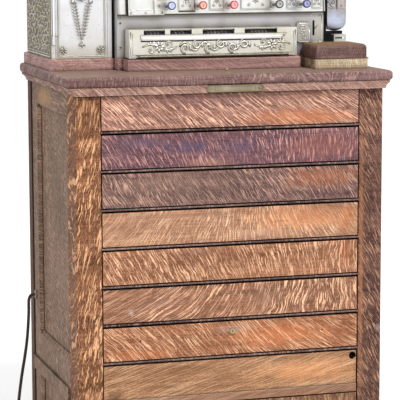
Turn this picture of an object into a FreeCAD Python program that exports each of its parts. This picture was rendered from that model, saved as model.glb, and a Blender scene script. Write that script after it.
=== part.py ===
import FreeCAD, Part
import math
import os
from FreeCAD import Vector

# A floor-standing ticket register of about 1910: a nickel register with a ticket
# tower on an oak cabinet of nine drawers.
# Millimetres, +Z up, front towards -Y. The origin is on the floor, under the middle
# of the cabinet's top board. Setbacks are measured back from the front face of the posts.

# Cabinet carcass
cabinet_width = 660.0
cabinet_depth = 461.0
cabinet_height = 862.4          # floor to the underside of the cornice
post_width = 52.0
post_depth = 73.0
post_round = 2.0
side_thickness = 22.0
side_top_rail = 50.0            # height of the rail over the upper panel
side_mid_rail_top = 316.0       # height above the floor
side_mid_rail_bottom = 222.0
side_bottom_rail = 32.0
back_stile_width = 104.0
groove_from_back = 40.0
groove_width = 16.0
groove_depth = 5.0
panel_bevel = 7.0
panel_thickness = 8.0
panel_recess = 9.0
band_top = 250.0                # the planted band round the side, above the floor
band_bottom = 222.0
band_thickness = 5.0
back_thickness = 14.0
back_recess = 5.0
back_frame = 70.0
floor_thickness = 12.0

# Plinth
plinth_height = 95.0
plinth_projection = 10.0
plinth_board = 62.0
plinth_chamfer = 8.0

# Top board and cornice
moulding_height = 16.4
board_thickness = 21.3
board_side_overhang = 17.0
board_front_overhang = 12.3
board_round = 7.5
strip_projection = 8.0
cove_foot = 3.0
cove_projection = 13.0
cove_lip = 4.0

# Drawers: seven shallow rows over two deep ones
shallow_rows = 7
row_pitch = 79.2
first_row_trim = 2.2            # the first row is lower than the rest by this
rail_thickness = 4.5
rail_depth = 60.0
rail_projection = 1.6
rail_round = 2.1
gap_over_rail = 2.0
gap_under_rail = 3.6
front_side_gap = 2.4
deep_front_height = 88.8
deep_gap = 2.6
front_thickness = 20.0
box_back_gap = 56.0             # from a drawer box's back to the back edge of the carcass
box_depth = cabinet_depth - front_thickness - box_back_gap
box_side = 12.0
box_post_clearance = 4.0
box_floor = 6.0
box_floor_lift = 4.0
box_lift = 9.0                  # underside of the box above the lower edge of its front
box_headroom = 14.0             # top of the box sides below the top edge of the front
coin_bay_depth = 92.0
partition = 6.0
note_bays = 3
runner_thickness = 8.0
runner_ledge = 12.0
runner_gap = 0.3
guide_height = 14.0
guide_gap = 1.0
stop_length = 20.0
stop_gap = 0.3
deep_step_height = 17.0
deep_step_depth = 2.0

# Lock and holes in the fronts
lock_radius = 4.8
lock_bezel_radius = 5.8
lock_bezel = 1.4
lock_lift = 14.0                # above the middle of the front
lock_plug_radius = 2.9
shaft_clearance = 0.05
lock_cam_length = 17.0
lock_cam_width = 5.6
lock_cam_thickness = 2.5
keyway_width = 1.3
pull_hole_radius = 1.6
pull_hole_spacing = 396.0
pull_hole_depth = 12.0
finger_hole_radius = 7.8
finger_hole_inset = 10.8        # from the opening's edge
finger_hole_drop = 11.4         # below the top edge of the front
finger_hole_depth = 34.0

# Register plinths
register_plinth_height = 24.5
tower_plinth_margin = 4.0
tower_plinth_back_margin = 20.0
main_plinth_setback = 118.0
main_plinth_nose_width = 378.0
main_plinth_margin = 3.0
plinth_nose_round = 4.0

# Ticket tower
tower_left = -335.0
tower_width = 130.0
tower_setback = 190.0
tower_depth = 243.0
tower_height = 240.0
sheet = 3.0
corner_strip_width = 9.0
corner_strip_depth = 8.0
door_gap = 0.6
door_thickness = 3.0
ticket_slot_width = 62.0
ticket_slot_height = 6.0
ticket_slot_drop = 42.0
spindle_radius = 12.0
roll_radius = 62.0
roll_width = 66.0
roll_wall = 3.0

# Register case
case_left = -200.0
case_right = 257.0
case_setback = 163.0
case_back = 434.0
case_lower_height = 92.4        # plinth top to the underside of the key panel
case_height = 235.0             # plinth top to the top plate
crest_setback = 176.0
slip_slot_x = 234.5
slip_slot_width = 4.6
slip_slot_height = 32.0
slip_slot_bottom = 40.6         # above the plinth
lock_plate_left = 195.0
lock_plate_right = 226.0
lock_plate_bottom = 28.0
lock_plate_top = 69.0
lock_plate_thickness = 4.0

# Counter lid and counters
lid_left = -184.0
lid_right = 183.0
lid_depth = 38.0                # in front of the case
lid_height = 58.5
lid_sheet = 3.0
lid_foot = 2.0
sill_left = -160.0
sill_right = 151.0
sill_drop = 17.0                # top of the sill below the lid's top edge
sill_height = 8.0
sill_depth = 2.5
window_height = 10.4
window_rim = 1.0                # the metal left over a window
window_centres = (-130.0, -72.5, 9.5, 103.0)
window_widths = (46.0, 47.0, 70.0, 72.0)
wheel_radius = 14.0
wheel_rim = 3.0
wheel_shaft_radius = 3.0
wheel_setback = 17.0            # in front of the case
wheel_drop = 17.0               # below the lid's top edge

# Key panel
panel_left = -181.0
panel_right = 252.0
panel_projection = 10.0
panel_height = 100.0
panel_tilt = 4.5                # degrees from upright
panel_sheet = 3.0
slot_strip_left = -200.0
slot_strip_right = -185.0
housing_right = -103.0
housing_projection = 12.0
housing_drop = 3.0
column_places = (-96.0, -28.0, 40.0, 140.0, 201.0)
key_rows = 3
key_pitch = 23.0
first_key_height = 15.0
key_radius = 8.8
key_thickness = 6.0
stem_radius = 3.2
collar_radius = 6.2
collar_length = 5.0
key_travel = 9.0
pressed_gap = 24.0              # between a pressed key and its collar
key_reach = collar_length + key_travel + pressed_gap
guide_plate_back = 26.0
stem_tail = 14.0
label_left = (-70.0, -2.0, 67.0, 170.0, 227.0)
label_right = (-35.0, 30.0, 134.0, 192.0, 249.0)
label_thickness = 1.5
label_foot = 6.0

# Indicator on top
hood_left = -176.0
hood_right = 233.0
hood_setback = 186.0
hood_back = 420.0
hood_height = 150.0
hood_round = 60.0
hood_wall = 4.0
glass_foot = 28.0
glass_height = 66.0
glass_side = 26.0
glass_thickness = 3.0
tablet_width = 34.0
tablet_height = 46.0
tablet_thickness = 2.0
tablet_count = 8
tablet_setback = 22.0

# Motor housing on the right of the case
motor_gap = 43.0                # between the case and the motor housing
motor_width = 44.0
motor_left = case_right + motor_gap
motor_right = motor_left + motor_width
motor_setback = 255.0
motor_length = 140.0
motor_foot = 68.0               # above the top board
motor_height = 190.0
motor_round = 21.0
rotor_radius = 16.0
rotor_length = 92.0
rotor_air_gap = 1.0
rotor_shaft_radius = 4.0
motor_cap = 6.0
motor_front_wall = 14.0
pulley_radius = 15.0
pulley_width = 12.0
bracket_setback = 262.0
bracket_thickness = 12.0
bracket_foot_inset = 6.0        # inside the motor's right-hand face
bracket_height = 150.0

# Slip box in front of the case, on the right
slip_left = 203.0
slip_right = 320.0
slip_setback = 62.0
slip_back = 154.0
slip_base_height = 20.0
slip_wall = 7.0
slip_floor = 5.0
slip_lid_height = 31.0
slip_lid_inset = 2.0
slip_lid_wall = 6.0
slip_lid_round = 9.0
lid_seat_gap = 0.3
guide_left = 294.0
guide_right = 322.0
guide_setback = 196.0
guide_sheet = 3.0
guide_top = 64.0
guide_foot = 18.0
guide_slot_height = 3.0
guide_slot_drop = 6.0

# Name plate and rest pin
name_plate_left = -57.0
name_plate_right = 64.0
name_plate_bottom = 0.4
name_plate_height = 15.6
name_plate_thickness = 1.6
screw_head_radius = 2.4
rest_pin_x = 13.0
rest_pin_setback = 78.0
rest_pin_radius = 2.5
rest_pin_height = 5.0

# Hinges
hinge_radius = 3.0
hinge_pin_radius = 1.5
hinge_knuckle = 18.0
hinge_gap = 0.4
hinge_clearance = 0.05

# Cord
cord_radius = 3.5
cord_setback = 399.0
gland_height = 389.5
gland_radius = 9.0
gland_length = 4.0
# The hand-picked route: x and height of each point, in the plane of the gland
cord_route = (
    (-334.0, 389.5), (-340.5, 389.5), (-345.3, 385.0), (-347.4, 378.5), (-348.0, 370.0),
    (-347.8, 354.0), (-349.5, 324.0), (-352.6, 288.0), (-358.0, 252.0), (-365.0, 214.0),
    (-370.4, 178.0), (-374.8, 142.0), (-378.5, 106.0), (-384.5, 74.0), (-395.0, 44.0),
    (-413.0, 20.0), (-438.0, 6.5), (-466.0, 3.5), (-492.0, 3.5),
)
coil_radius = 46.0              # middle line of the outermost turn
coil_half_turns = 6             # drawn in on the floor, and as many let out again on top
coil_gap = 0.8
coil_lead = 8.0
coil_tail = 26.0
gap_step = 2.0
plug_floor_gap = 0.3
plug_length = 30.0
plug_neck_length = 14.0
plug_neck_radius = 6.5
blade_length = 16.0
blade_width = 6.0
blade_thickness = 1.5
blade_spacing = 12.0

# Places worked out from the sizes above
half_width = cabinet_width / 2
opening_half = half_width - post_width
inner_half = half_width - side_thickness
front_y = -(cabinet_depth - board_front_overhang) / 2
back_y = front_y + cabinet_depth
carcass_top = cabinet_height + moulding_height
board_top = carcass_top + board_thickness
register_floor = board_top + register_plinth_height
box_half = opening_half - box_post_clearance


def behind(setback):
    return front_y + setback


def block(x, y, z):
    return Part.makeBox(x[1] - x[0], y[1] - y[0], z[1] - z[0], Vector(x[0], y[0], z[0]))


def rod(radius, start, direction, length):
    return Part.makeCylinder(radius, length, Vector(*start), Vector(*direction))


def tube(radius, bore, start, direction, length):
    return rod(radius, start, direction, length).cut(rod(bore, start, direction, length))


def side_prism(points, x):
    """Extrude a YZ outline along X."""
    wire = Part.makePolygon([Vector(x[0], y, z) for y, z in points + points[:1]])
    return Part.Face(wire).extrude(Vector(x[1] - x[0], 0, 0))


def mirrored(shape):
    return shape.mirror(Vector(0, 0, 0), Vector(1, 0, 0))


def edges_where(shape, test):
    return [edge for edge in shape.Edges if test(edge.BoundBox)]


def near(a, b):
    return abs(a - b) < 1e-4


def save(name, *solids):
    shape = solids[0] if len(solids) == 1 else Part.makeCompound(list(solids))
    shape.exportStep("parts/" + name + ".step")


def top_board():
    half = half_width + board_side_overhang
    front = front_y - board_front_overhang
    board = block((-half, half), (front, back_y), (carcass_top, board_top))

    def shaped(box):
        level = near(box.ZMin, box.ZMax)
        outer = near(box.YMin, box.YMax) and near(box.YMin, front)
        side = near(box.XMin, box.XMax)
        return level and (outer or side)

    return board.makeFillet(board_round, edges_where(board, shaped))


def cornice():
    strip = block((-half_width, half_width), (front_y - strip_projection, front_y),
                  (cabinet_height, carcass_top))
    start_y = front_y - strip_projection
    foot = Vector(half_width + cove_foot, start_y, cabinet_height)
    lip = Vector(half_width + cove_projection, start_y, carcass_top - cove_lip)
    bow = (moulding_height - cove_lip) * 0.12
    middle = (foot + lip) * 0.5 + Vector(-bow, 0, bow)
    outline = [
        Part.LineSegment(Vector(half_width, start_y, cabinet_height), foot).toShape(),
        Part.Arc(foot, middle, lip).toShape(),
        Part.LineSegment(lip, Vector(lip.x, start_y, carcass_top)).toShape(),
        Part.LineSegment(Vector(lip.x, start_y, carcass_top),
                         Vector(half_width, start_y, carcass_top)).toShape(),
        Part.LineSegment(Vector(half_width, start_y, carcass_top),
                         Vector(half_width, start_y, cabinet_height)).toShape(),
    ]
    cove = Part.Face(Part.Wire(outline)).extrude(Vector(0, back_y - start_y, 0))
    return strip, cove, mirrored(cove)


def post():
    body = block((opening_half, half_width), (front_y, behind(post_depth)),
                 (plinth_height, carcass_top))
    corner = edges_where(body, lambda box: near(box.XMin, half_width)
                         and near(box.XMax, half_width)
                         and near(box.YMin, front_y) and near(box.YMax, front_y))
    return body.makeFillet(post_round, corner)


# Heights of the two openings in each side frame
upper_opening = (side_mid_rail_top, cabinet_height - side_top_rail)
lower_opening = (plinth_height + side_bottom_rail, side_mid_rail_bottom)
panel_y = (behind(post_depth), back_y - back_stile_width)


def side_frame():
    x = (inner_half, half_width)
    frame = block(x, (behind(post_depth), back_y), (plinth_height, carcass_top))
    for opening in (upper_opening, lower_opening):
        frame = frame.cut(block((x[0] - 1, x[1] + 1), panel_y, opening))
        for outline_z in opening:
            inward = 1 if outline_z == opening[0] else -1
            frame = frame.cut(bevel_cut(outline_z, inward))
        back_edge = panel_y[1]
        corner = [(half_width, back_edge), (half_width - panel_bevel, back_edge),
                  (half_width, back_edge + panel_bevel)]
        wire = Part.makePolygon([Vector(px, py, opening[0]) for px, py in corner + corner[:1]])
        frame = frame.cut(Part.Face(wire).extrude(Vector(0, 0, opening[1] - opening[0])))
    groove_y = back_y - groove_from_back
    groove_back = groove_y + groove_width / 2
    for z in ((plinth_height, band_bottom), (band_top, carcass_top)):
        frame = frame.cut(block((half_width - groove_depth, half_width + 1),
                                (groove_y - groove_width / 2, groove_back), z))
    band = block((half_width, half_width + band_thickness), (behind(post_depth), groove_back),
                 (band_bottom, band_top))
    return frame, band


def bevel_cut(z, inward):
    """The bevel along the top or bottom of a side opening."""
    x = half_width
    corner = [(x, z), (x - panel_bevel, z), (x, z - inward * panel_bevel)]
    wire = Part.makePolygon([Vector(px, panel_y[0], pz) for px, pz in corner + corner[:1]])
    return Part.Face(wire).extrude(Vector(0, panel_y[1] - panel_y[0], 0))


def side_panels():
    x = (half_width - panel_recess - panel_thickness, half_width - panel_recess)
    right = [block(x, panel_y, opening) for opening in (upper_opening, lower_opening)]
    return right + [mirrored(panel) for panel in right]


def back_panel():
    y = (back_y - back_thickness, back_y)
    board = block((-inner_half, inner_half), y, (plinth_height, carcass_top))
    for side in (-1, 1):
        x = sorted((side * back_frame / 2, side * (inner_half - back_frame)))
        z = (plinth_height + back_frame, carcass_top - back_frame)
        board = board.cut(block(x, (back_y - back_recess, back_y + 1), z))
    return board


def plinth():
    outer = half_width + plinth_projection
    front = front_y - plinth_projection
    boards = [
        block((-outer, outer), (front, front + plinth_board), (0, plinth_height)),
        block((-outer, outer), (back_y - plinth_board, back_y), (0, plinth_height)),
        block((outer - plinth_board, outer), (front + plinth_board, back_y - plinth_board),
              (0, plinth_height)),
        block((-outer, plinth_board - outer), (front + plinth_board, back_y - plinth_board),
              (0, plinth_height)),
    ]

    def top_outer(box):
        at_top = near(box.ZMin, plinth_height) and near(box.ZMax, plinth_height)
        at_front = near(box.YMax, front)
        at_side = near(box.XMin, outer) or near(box.XMax, -outer)
        return at_top and (at_front or at_side)

    boards = [board.makeChamfer(plinth_chamfer, edges_where(board, top_outer))
              if edges_where(board, top_outer) else board for board in boards]
    bottom = block((-inner_half, inner_half), (behind(post_depth), back_y - back_thickness),
                   (plinth_height, plinth_height + floor_thickness))
    return boards + [bottom]


def rail_top(row):
    """Top face of the rail under a shallow row."""
    return cabinet_height + rail_thickness + first_row_trim - row * row_pitch


def front_span(row):
    """Lowest and highest level of a drawer front."""
    if row <= shallow_rows:
        low = rail_top(row) + gap_over_rail
        high = rail_top(row) + row_pitch - rail_thickness - gap_under_rail
        return low, high
    high = rail_top(shallow_rows) - rail_thickness - gap_under_rail
    high -= (row - shallow_rows - 1) * (deep_front_height + deep_gap)
    return high - deep_front_height, high


rows = shallow_rows + 2
bottom_rail_top = front_span(rows)[0] - gap_under_rail


def drawer_rails():
    x = (-opening_half, opening_half)
    solids = [block(x, (front_y, behind(rail_depth)), (cabinet_height, carcass_top))]
    nose = front_y - rail_projection
    for row in range(1, shallow_rows + 1):
        top = rail_top(row)
        rail = block(x, (nose, behind(rail_depth)), (top - rail_thickness, top))
        edges = edges_where(rail, lambda box: near(box.YMin, nose) and near(box.YMax, nose)
                            and near(box.ZMin, box.ZMax))
        solids.append(rail.makeFillet(rail_round, edges))
    between = front_span(shallow_rows + 1)[0]
    solids.append(block(x, (behind(front_thickness + runner_gap), behind(rail_depth)),
                        (between - rail_thickness, between)))
    solids.append(block(x, (front_y, behind(front_thickness)),
                        (plinth_height, bottom_rail_top)))
    return solids


def drawer_runners():
    solids = []
    for row in range(1, rows + 1):
        ledge_top = front_span(row)[0] + box_lift - runner_gap
        y = (behind(post_depth), back_y - back_thickness)
        ledge_inner = box_half - runner_ledge
        guide_inner = box_half + guide_gap
        ledge = block((ledge_inner, inner_half), y, (ledge_top - runner_thickness, ledge_top))
        guide = block((guide_inner, inner_half), y, (ledge_top, ledge_top + guide_height))
        box_back = behind(front_thickness + box_depth)
        stop = block((ledge_inner, guide_inner), (box_back + stop_gap, box_back + stop_gap + stop_length),
                     (ledge_top, ledge_top + guide_height))
        runner = ledge.fuse([guide, stop]).removeSplitter()
        solids += [runner, mirrored(runner)]
    return solids


def drawer(row):
    """One drawer as its boards: front, sides, back, floor and partitions."""
    low, high = front_span(row)
    front_half = opening_half - front_side_gap
    front = block((-front_half, front_half), (front_y, behind(front_thickness)), (low, high))
    y = (behind(front_thickness), behind(front_thickness + box_depth))
    z = (low + box_lift, high - box_headroom)
    inside = box_half - box_side
    floor_z = (z[0] + box_floor_lift, z[0] + box_floor_lift + box_floor)
    boards = [
        block((inside, box_half), y, z),
        block((-box_half, -inside), y, z),
        block((-inside, inside), (y[1] - box_side, y[1]), z),
        block((-inside, inside), (y[0], y[1] - box_side), floor_z),
    ]
    if row < shallow_rows:
        cross_y = y[0] + coin_bay_depth
        boards.append(block((-inside, inside), (cross_y, cross_y + partition),
                            (floor_z[1], z[1] - partition)))
        bay = (2 * inside + partition) / note_bays
        for number in range(1, note_bays):
            x = -inside + number * bay - partition
            boards.append(block((x, x + partition), (cross_y + partition, y[1] - box_side),
                                (floor_z[1], z[1] - partition)))
    if row == shallow_rows:
        centre = (low + high) / 2
        front = front.cut(rod(lock_radius, (0, front_y - 1, centre + lock_lift), (0, 1, 0),
                              front_thickness + 2))
        for side in (-1, 1):
            start = (side * pull_hole_spacing / 2, front_y, centre + pull_hole_drop())
            front = front.cut(rod(pull_hole_radius, start, (0, 1, 0), pull_hole_depth))
    if row > shallow_rows:
        step = block((-front_half, front_half), (front_y, front_y + deep_step_depth),
                     (low + deep_step_height, high))
        if row == shallow_rows + 1:
            front = front.cut(step)
            hole = rod(finger_hole_radius,
                       (opening_half - finger_hole_inset, front_y - 1, high - finger_hole_drop),
                       (0, 1, 0), finger_hole_depth + 1)
            front = front.cut(hole)
            boards[0] = boards[0].cut(hole)
    return [front] + boards


def pull_hole_drop():
    """The old pull's screw holes sit a little above the middle of the front."""
    return pull_hole_radius * 3


def lock_centre():
    low, high = front_span(shallow_rows)
    return (low + high) / 2 + lock_lift


def lock_barrel():
    z = lock_centre()
    barrel = rod(lock_radius, (0, front_y, z), (0, 1, 0), front_thickness)
    bezel = rod(lock_bezel_radius, (0, front_y - lock_bezel, z), (0, 1, 0), lock_bezel)
    bore = rod(lock_plug_radius + shaft_clearance, (0, front_y - lock_bezel - 1, z), (0, 1, 0),
               front_thickness + lock_bezel + 2)
    return barrel.fuse(bezel).cut(bore).removeSplitter()


def lock_plug():
    z = lock_centre()
    length = front_thickness + lock_bezel + hinge_gap
    plug = rod(lock_plug_radius, (0, front_y - lock_bezel, z), (0, 1, 0), length)
    cam_y = front_y - lock_bezel + length
    cam = block((-lock_cam_length, lock_cam_width / 2), (cam_y, cam_y + lock_cam_thickness),
                (z - lock_cam_width / 2, z + lock_cam_width / 2))
    keyway = block((-keyway_width / 2, keyway_width / 2),
                   (front_y - lock_bezel - 1, front_y + front_thickness / 2),
                   (z - lock_plug_radius * 0.7, z + lock_plug_radius * 0.7))
    return plug.fuse(cam).cut(keyway).removeSplitter()


def name_plate():
    y = front_y - strip_projection
    z = cabinet_height + name_plate_bottom
    radius = name_plate_height / 2
    plate = block((name_plate_left + radius, name_plate_right - radius),
                  (y - name_plate_thickness, y), (z, z + name_plate_height))
    for x in (name_plate_left + radius, name_plate_right - radius):
        end = rod(radius, (x, y - name_plate_thickness, z + radius), (0, 1, 0),
                  name_plate_thickness)
        plate = plate.fuse(end)
    for x in (name_plate_left + radius, name_plate_right - radius):
        head = Part.makeSphere(screw_head_radius, Vector(x, y - name_plate_thickness, z + radius))
        plate = plate.fuse(head.cut(block((x - 9, x + 9), (y - name_plate_thickness / 2, y + 9),
                                          (z - 9, z + name_plate_height + 9))))
    return plate.removeSplitter()


def rest_pin():
    pin = rod(rest_pin_radius, (rest_pin_x, behind(rest_pin_setback), board_top), (0, 0, 1),
              rest_pin_height)
    rim = edges_where(pin, lambda box: near(box.ZMin, board_top + rest_pin_height))
    return pin.makeFillet(rest_pin_radius * 0.6, rim)


def register_plinth(x, y, z):
    body = block(x, y, z)

    def top_edge(box):
        level = near(box.ZMin, z[1]) and near(box.ZMax, z[1])
        return level and not near(box.YMin, y[1])

    return body.makeFillet(plinth_nose_round, edges_where(body, top_edge))


register_z = (board_top, register_floor)
tower_x = (tower_left, tower_left + tower_width)
tower_y = (behind(tower_setback), behind(tower_setback + tower_depth))
tower_z = (register_floor, register_floor + tower_height)
case_x = (case_left, case_right)
case_front = behind(case_setback)
lid_front = case_front - lid_depth


def tower_plinth():
    margin = tower_plinth_margin
    return register_plinth((tower_x[0] - margin, tower_x[1] + margin),
                           (tower_y[0] - margin, tower_y[1] + tower_plinth_back_margin), register_z)


def main_plinth():
    nose_half = main_plinth_nose_width / 2
    join = case_front - main_plinth_margin
    nose = block((-nose_half, nose_half), (behind(main_plinth_setback), join), register_z)

    def front_top(box):
        level = near(box.ZMin, register_floor) and near(box.ZMax, register_floor)
        return level and not near(box.YMin, join)

    nose = nose.makeFillet(plinth_nose_round, edges_where(nose, front_top))
    main = block((tower_x[1] + tower_plinth_margin + door_gap, case_right + main_plinth_margin),
                 (join, behind(case_back)), register_z)
    return nose, main


def tower_case():
    """Floor, sides, back, top, corner strips and the roll's fixed spindle."""
    strip_x = (tower_x[0], tower_x[0] + corner_strip_width)
    inner = (tower_x[0] + sheet, tower_x[1] - sheet)
    body_y = (tower_y[0] + corner_strip_depth, tower_y[1])
    strip_left = block(strip_x, (tower_y[0], body_y[0]), tower_z)
    strip_right = block((tower_x[1] - corner_strip_width, tower_x[1]), (tower_y[0], body_y[0]),
                        tower_z)
    left = block((tower_x[0], inner[0]), body_y, tower_z)
    right = block((inner[1], tower_x[1]), body_y, tower_z)
    back = block(inner, (tower_y[1] - sheet, tower_y[1]), tower_z)
    plate_y = (body_y[0], tower_y[1] - sheet)
    floor = block(inner, plate_y, (tower_z[0], tower_z[0] + sheet))
    top = block(inner, plate_y, (tower_z[1] - sheet, tower_z[1]))
    y, z = roll_centre()
    spindle = rod(spindle_radius, (inner[0], y, z), (1, 0, 0), roll_width + spindle_radius)
    knuckles = hinge_fixed((door_hinge_x(), tower_y[0] - hinge_radius, tower_z[0] + 30), (0, 0, 1),
                           tower_height - 60)
    anchored = strip_left.fuse(hinge_lugs(knuckles, strip_x)).removeSplitter()
    return anchored, strip_right, left, right, back, floor, top, spindle


def roll_centre():
    return (tower_y[0] + tower_y[1]) / 2 + 10, tower_z[0] + tower_height * 0.42


def door_hinge_x():
    return tower_x[0] + corner_strip_width - hinge_radius


def hinge_spans(length):
    """Fixed, moving and fixed again: start and length of each knuckle run."""
    middle = length - 2 * hinge_knuckle - 2 * hinge_gap
    return ((0, hinge_knuckle), (hinge_knuckle + hinge_gap, middle),
            (length - hinge_knuckle, hinge_knuckle))


def hinge_fixed(start, direction, length):
    """Two end knuckles on one through pin."""
    origin = Vector(*start)
    along = Vector(*direction)
    first, _, last = hinge_spans(length)
    shape = rod(hinge_pin_radius, start, direction, length)
    for offset, run in (first, last):
        place = origin + along * offset
        shape = shape.fuse(rod(hinge_radius, tuple(place), direction, run))
    return shape


def hinge_moving(start, direction, length):
    """The sleeve between the end knuckles, bored for the pin."""
    _, middle, _ = hinge_spans(length)
    place = Vector(*start) + Vector(*direction) * middle[0]
    return tube(hinge_radius, hinge_pin_radius + hinge_clearance, tuple(place), direction,
                middle[1])


def hinge_lugs(knuckles, strip_x):
    """Tie the tower's fixed knuckles back to its corner strip."""
    shape = knuckles
    length = tower_height - 60
    first, _, last = hinge_spans(length)
    for offset, run in (first, last):
        z = tower_z[0] + 30 + offset
        lug = block((strip_x[0] + 1, door_hinge_x()),
                    (tower_y[0] - hinge_radius, tower_y[0]), (z, z + run))
        shape = shape.fuse(lug)
    return shape


def tower_door():
    left = tower_x[0] + corner_strip_width + door_gap
    right = tower_x[1] - corner_strip_width - door_gap
    z = (tower_z[0] + door_gap, tower_z[1] - door_gap)
    y = (tower_y[0], tower_y[0] + door_thickness)
    plate = block((left, right), y, z)
    middle = (left + right) / 2
    slot_top = z[1] - ticket_slot_drop
    slot = block((middle - ticket_slot_width / 2, middle + ticket_slot_width / 2),
                 (y[0] - 1, y[1] + 1), (slot_top - ticket_slot_height, slot_top))
    length = tower_height - 60
    start = (door_hinge_x(), tower_y[0] - hinge_radius, tower_z[0] + 30)
    sleeve = hinge_moving(start, (0, 0, 1), length)
    _, span, _ = hinge_spans(length)
    sleeve_z = tower_z[0] + 30 + span[0]
    leaf = block((door_hinge_x() + hinge_pin_radius + hinge_gap, left + 8),
                 (tower_y[0] - hinge_radius, tower_y[0]), (sleeve_z, sleeve_z + span[1]))
    pin_way = rod(hinge_pin_radius + hinge_clearance, start, (0, 0, 1), length)
    return plate.cut(slot).fuse([sleeve, leaf]).cut(pin_way).removeSplitter()


def ticket_roll():
    y, z = roll_centre()
    x = tower_x[0] + sheet + spindle_radius
    bore = spindle_radius + shaft_clearance
    core = tube(bore + roll_wall, bore, (x, y, z), (1, 0, 0), roll_width)
    paper = tube(roll_radius, bore + roll_wall, (x + 1, y, z), (1, 0, 0), roll_width - 2)
    return core, paper


def case_profile(inset):
    """YZ outline of the case sides, drawn in by the sheet for the inner plates."""
    base = register_floor
    lean = panel_height * math.sin(math.radians(panel_tilt))
    rise = panel_height * math.cos(math.radians(panel_tilt))
    step_z = base + case_lower_height
    nose = case_front - panel_projection
    return [
        (case_front + inset, base), (case_front + inset, step_z), (nose + inset, step_z),
        (nose + lean + inset, step_z + rise), (behind(crest_setback) + inset, base + case_height),
        (behind(case_back), base + case_height), (behind(case_back), base),
    ]


def main_case():
    base = register_floor
    inner = (case_x[0] + sheet, case_x[1] - sheet)
    left = side_prism(case_profile(0.0), (case_x[0], inner[0]))
    right = side_prism(case_profile(0.0), (inner[1], case_x[1]))
    step_z = base + case_lower_height
    front = block(inner, (case_front, case_front + sheet), (base, step_z))
    slot_z = (base + slip_slot_bottom, base + slip_slot_bottom + slip_slot_height)
    front = front.cut(block((slip_slot_x - slip_slot_width / 2, slip_slot_x + slip_slot_width / 2),
                            (case_front - 1, case_front + sheet + 1), slot_z))
    plate = block((lock_plate_left, lock_plate_right),
                  (case_front - lock_plate_thickness, case_front),
                  (base + lock_plate_bottom, base + lock_plate_top))
    corners = edges_where(plate, lambda box: near(box.ZMin, base + lock_plate_top)
                          and near(box.XMin, box.XMax))
    plate = plate.makeFillet(lock_plate_thickness, corners)
    back = block(inner, (behind(case_back) - sheet, behind(case_back)),
                 (base, base + case_height - sheet))
    top = block(inner, (behind(crest_setback) + sheet, behind(case_back)),
                (base + case_height - sheet, base + case_height))
    profile = case_profile(0.0)
    foot, head = profile[3], profile[4]
    crest = side_prism([foot, head, (head[0] + sheet, head[1]),
                        (foot[0] + sheet, foot[1])], inner)
    y, z = wheel_centre()
    shaft = rod(wheel_shaft_radius, (lid_left + 12, y, z), (1, 0, 0), lid_right - lid_left - 24)
    supports = []
    for x in (lid_left + 14, lid_right - 20):
        lug = block((x, x + 6), (y, case_front), (z - 8, z + 8)).fuse(
            rod(8, (x, y, z), (1, 0, 0), 6))
        supports.append(lug)
    carrier = shaft.fuse(supports).removeSplitter()
    hinge = lid_hinge_fixed()
    return left, right, front, plate, back, top, crest, carrier, hinge


def wheel_centre():
    return case_front - wheel_setback, register_floor + lid_height - wheel_drop


def lid_hinge_place():
    start = (lid_left + 20, lid_front - hinge_radius, register_floor + hinge_radius + lid_foot)
    return start, lid_right - lid_left - 40


def lid_hinge_fixed():
    """End knuckles of the counter lid, on lugs that stand on the register plinth."""
    start, length = lid_hinge_place()
    shape = hinge_fixed(start, (1, 0, 0), length)
    for offset, run in hinge_spans(length)[::2]:
        lug = block((start[0] + offset, start[0] + offset + run),
                    (lid_front - hinge_radius, lid_front - door_gap),
                    (register_floor, start[2]))
        shape = shape.fuse(lug)
    return shape.removeSplitter()


def counter_lid():
    """Ornamental front, two cheeks, a sloped window frame and a sill bar."""
    x = (lid_left, lid_right)
    z = (register_floor + lid_foot, register_floor + lid_height)
    back = case_front - door_gap
    front = block(x, (lid_front, lid_front + lid_sheet), z)
    top = block(x, (lid_front, back), (z[1], z[1] + lid_sheet))
    shell = front.fuse([
        top,
        block((x[0], x[0] + lid_sheet), (lid_front, back), z),
        block((x[1] - lid_sheet, x[1]), (lid_front, back), z),
    ])
    window_top = z[1] + lid_sheet - window_rim
    for centre, width in zip(window_centres, window_widths):
        span = (centre - width / 2, centre + width / 2)
        shell = shell.cut(block(span, (lid_front - 1, lid_front + lid_sheet + 1),
                                (window_top - window_height, window_top)))
    sill_z = z[1] - sill_drop
    sill = block((sill_left, sill_right), (lid_front - sill_depth, lid_front),
                 (sill_z, sill_z + sill_height))
    start, length = lid_hinge_place()
    sleeve = hinge_moving(start, (1, 0, 0), length)
    offset, run = hinge_spans(length)[1]
    leaf = block((start[0] + offset, start[0] + offset + run),
                 (lid_front - hinge_radius, lid_front),
                 (start[2] + hinge_pin_radius + hinge_gap, start[2] + hinge_radius))
    lid = shell.fuse([sill, sleeve, leaf])
    return lid.cut(rod(hinge_pin_radius + hinge_clearance, start, (1, 0, 0), length)).removeSplitter()


def counter_wheels():
    """One drum of number wheels behind each window, on one sleeve."""
    y, z = wheel_centre()
    bore = wheel_shaft_radius + shaft_clearance
    start_x = lid_left + 24
    length = lid_right - lid_left - 48
    sleeve = tube(bore + wheel_rim, bore, (start_x, y, z), (1, 0, 0), length)
    shape = sleeve
    for centre, width in zip(window_centres, window_widths):
        low = max(centre - width / 2, start_x)
        high = min(centre + width / 2, start_x + length)
        shape = shape.fuse(tube(wheel_radius, bore, (low, y, z), (1, 0, 0), high - low))
    return shape.removeSplitter()


panel_foot = Vector(0, case_front - panel_projection, register_floor + case_lower_height)


def on_panel(shape):
    """Place a shape drawn on an upright panel whose front face is the plane y = 0."""
    turned = shape.copy()
    turned.rotate(Vector(0, 0, 0), Vector(1, 0, 0), -panel_tilt)
    turned.translate(panel_foot)
    return turned


def key_heights():
    return [first_key_height + row * key_pitch for row in range(key_rows)]


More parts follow.
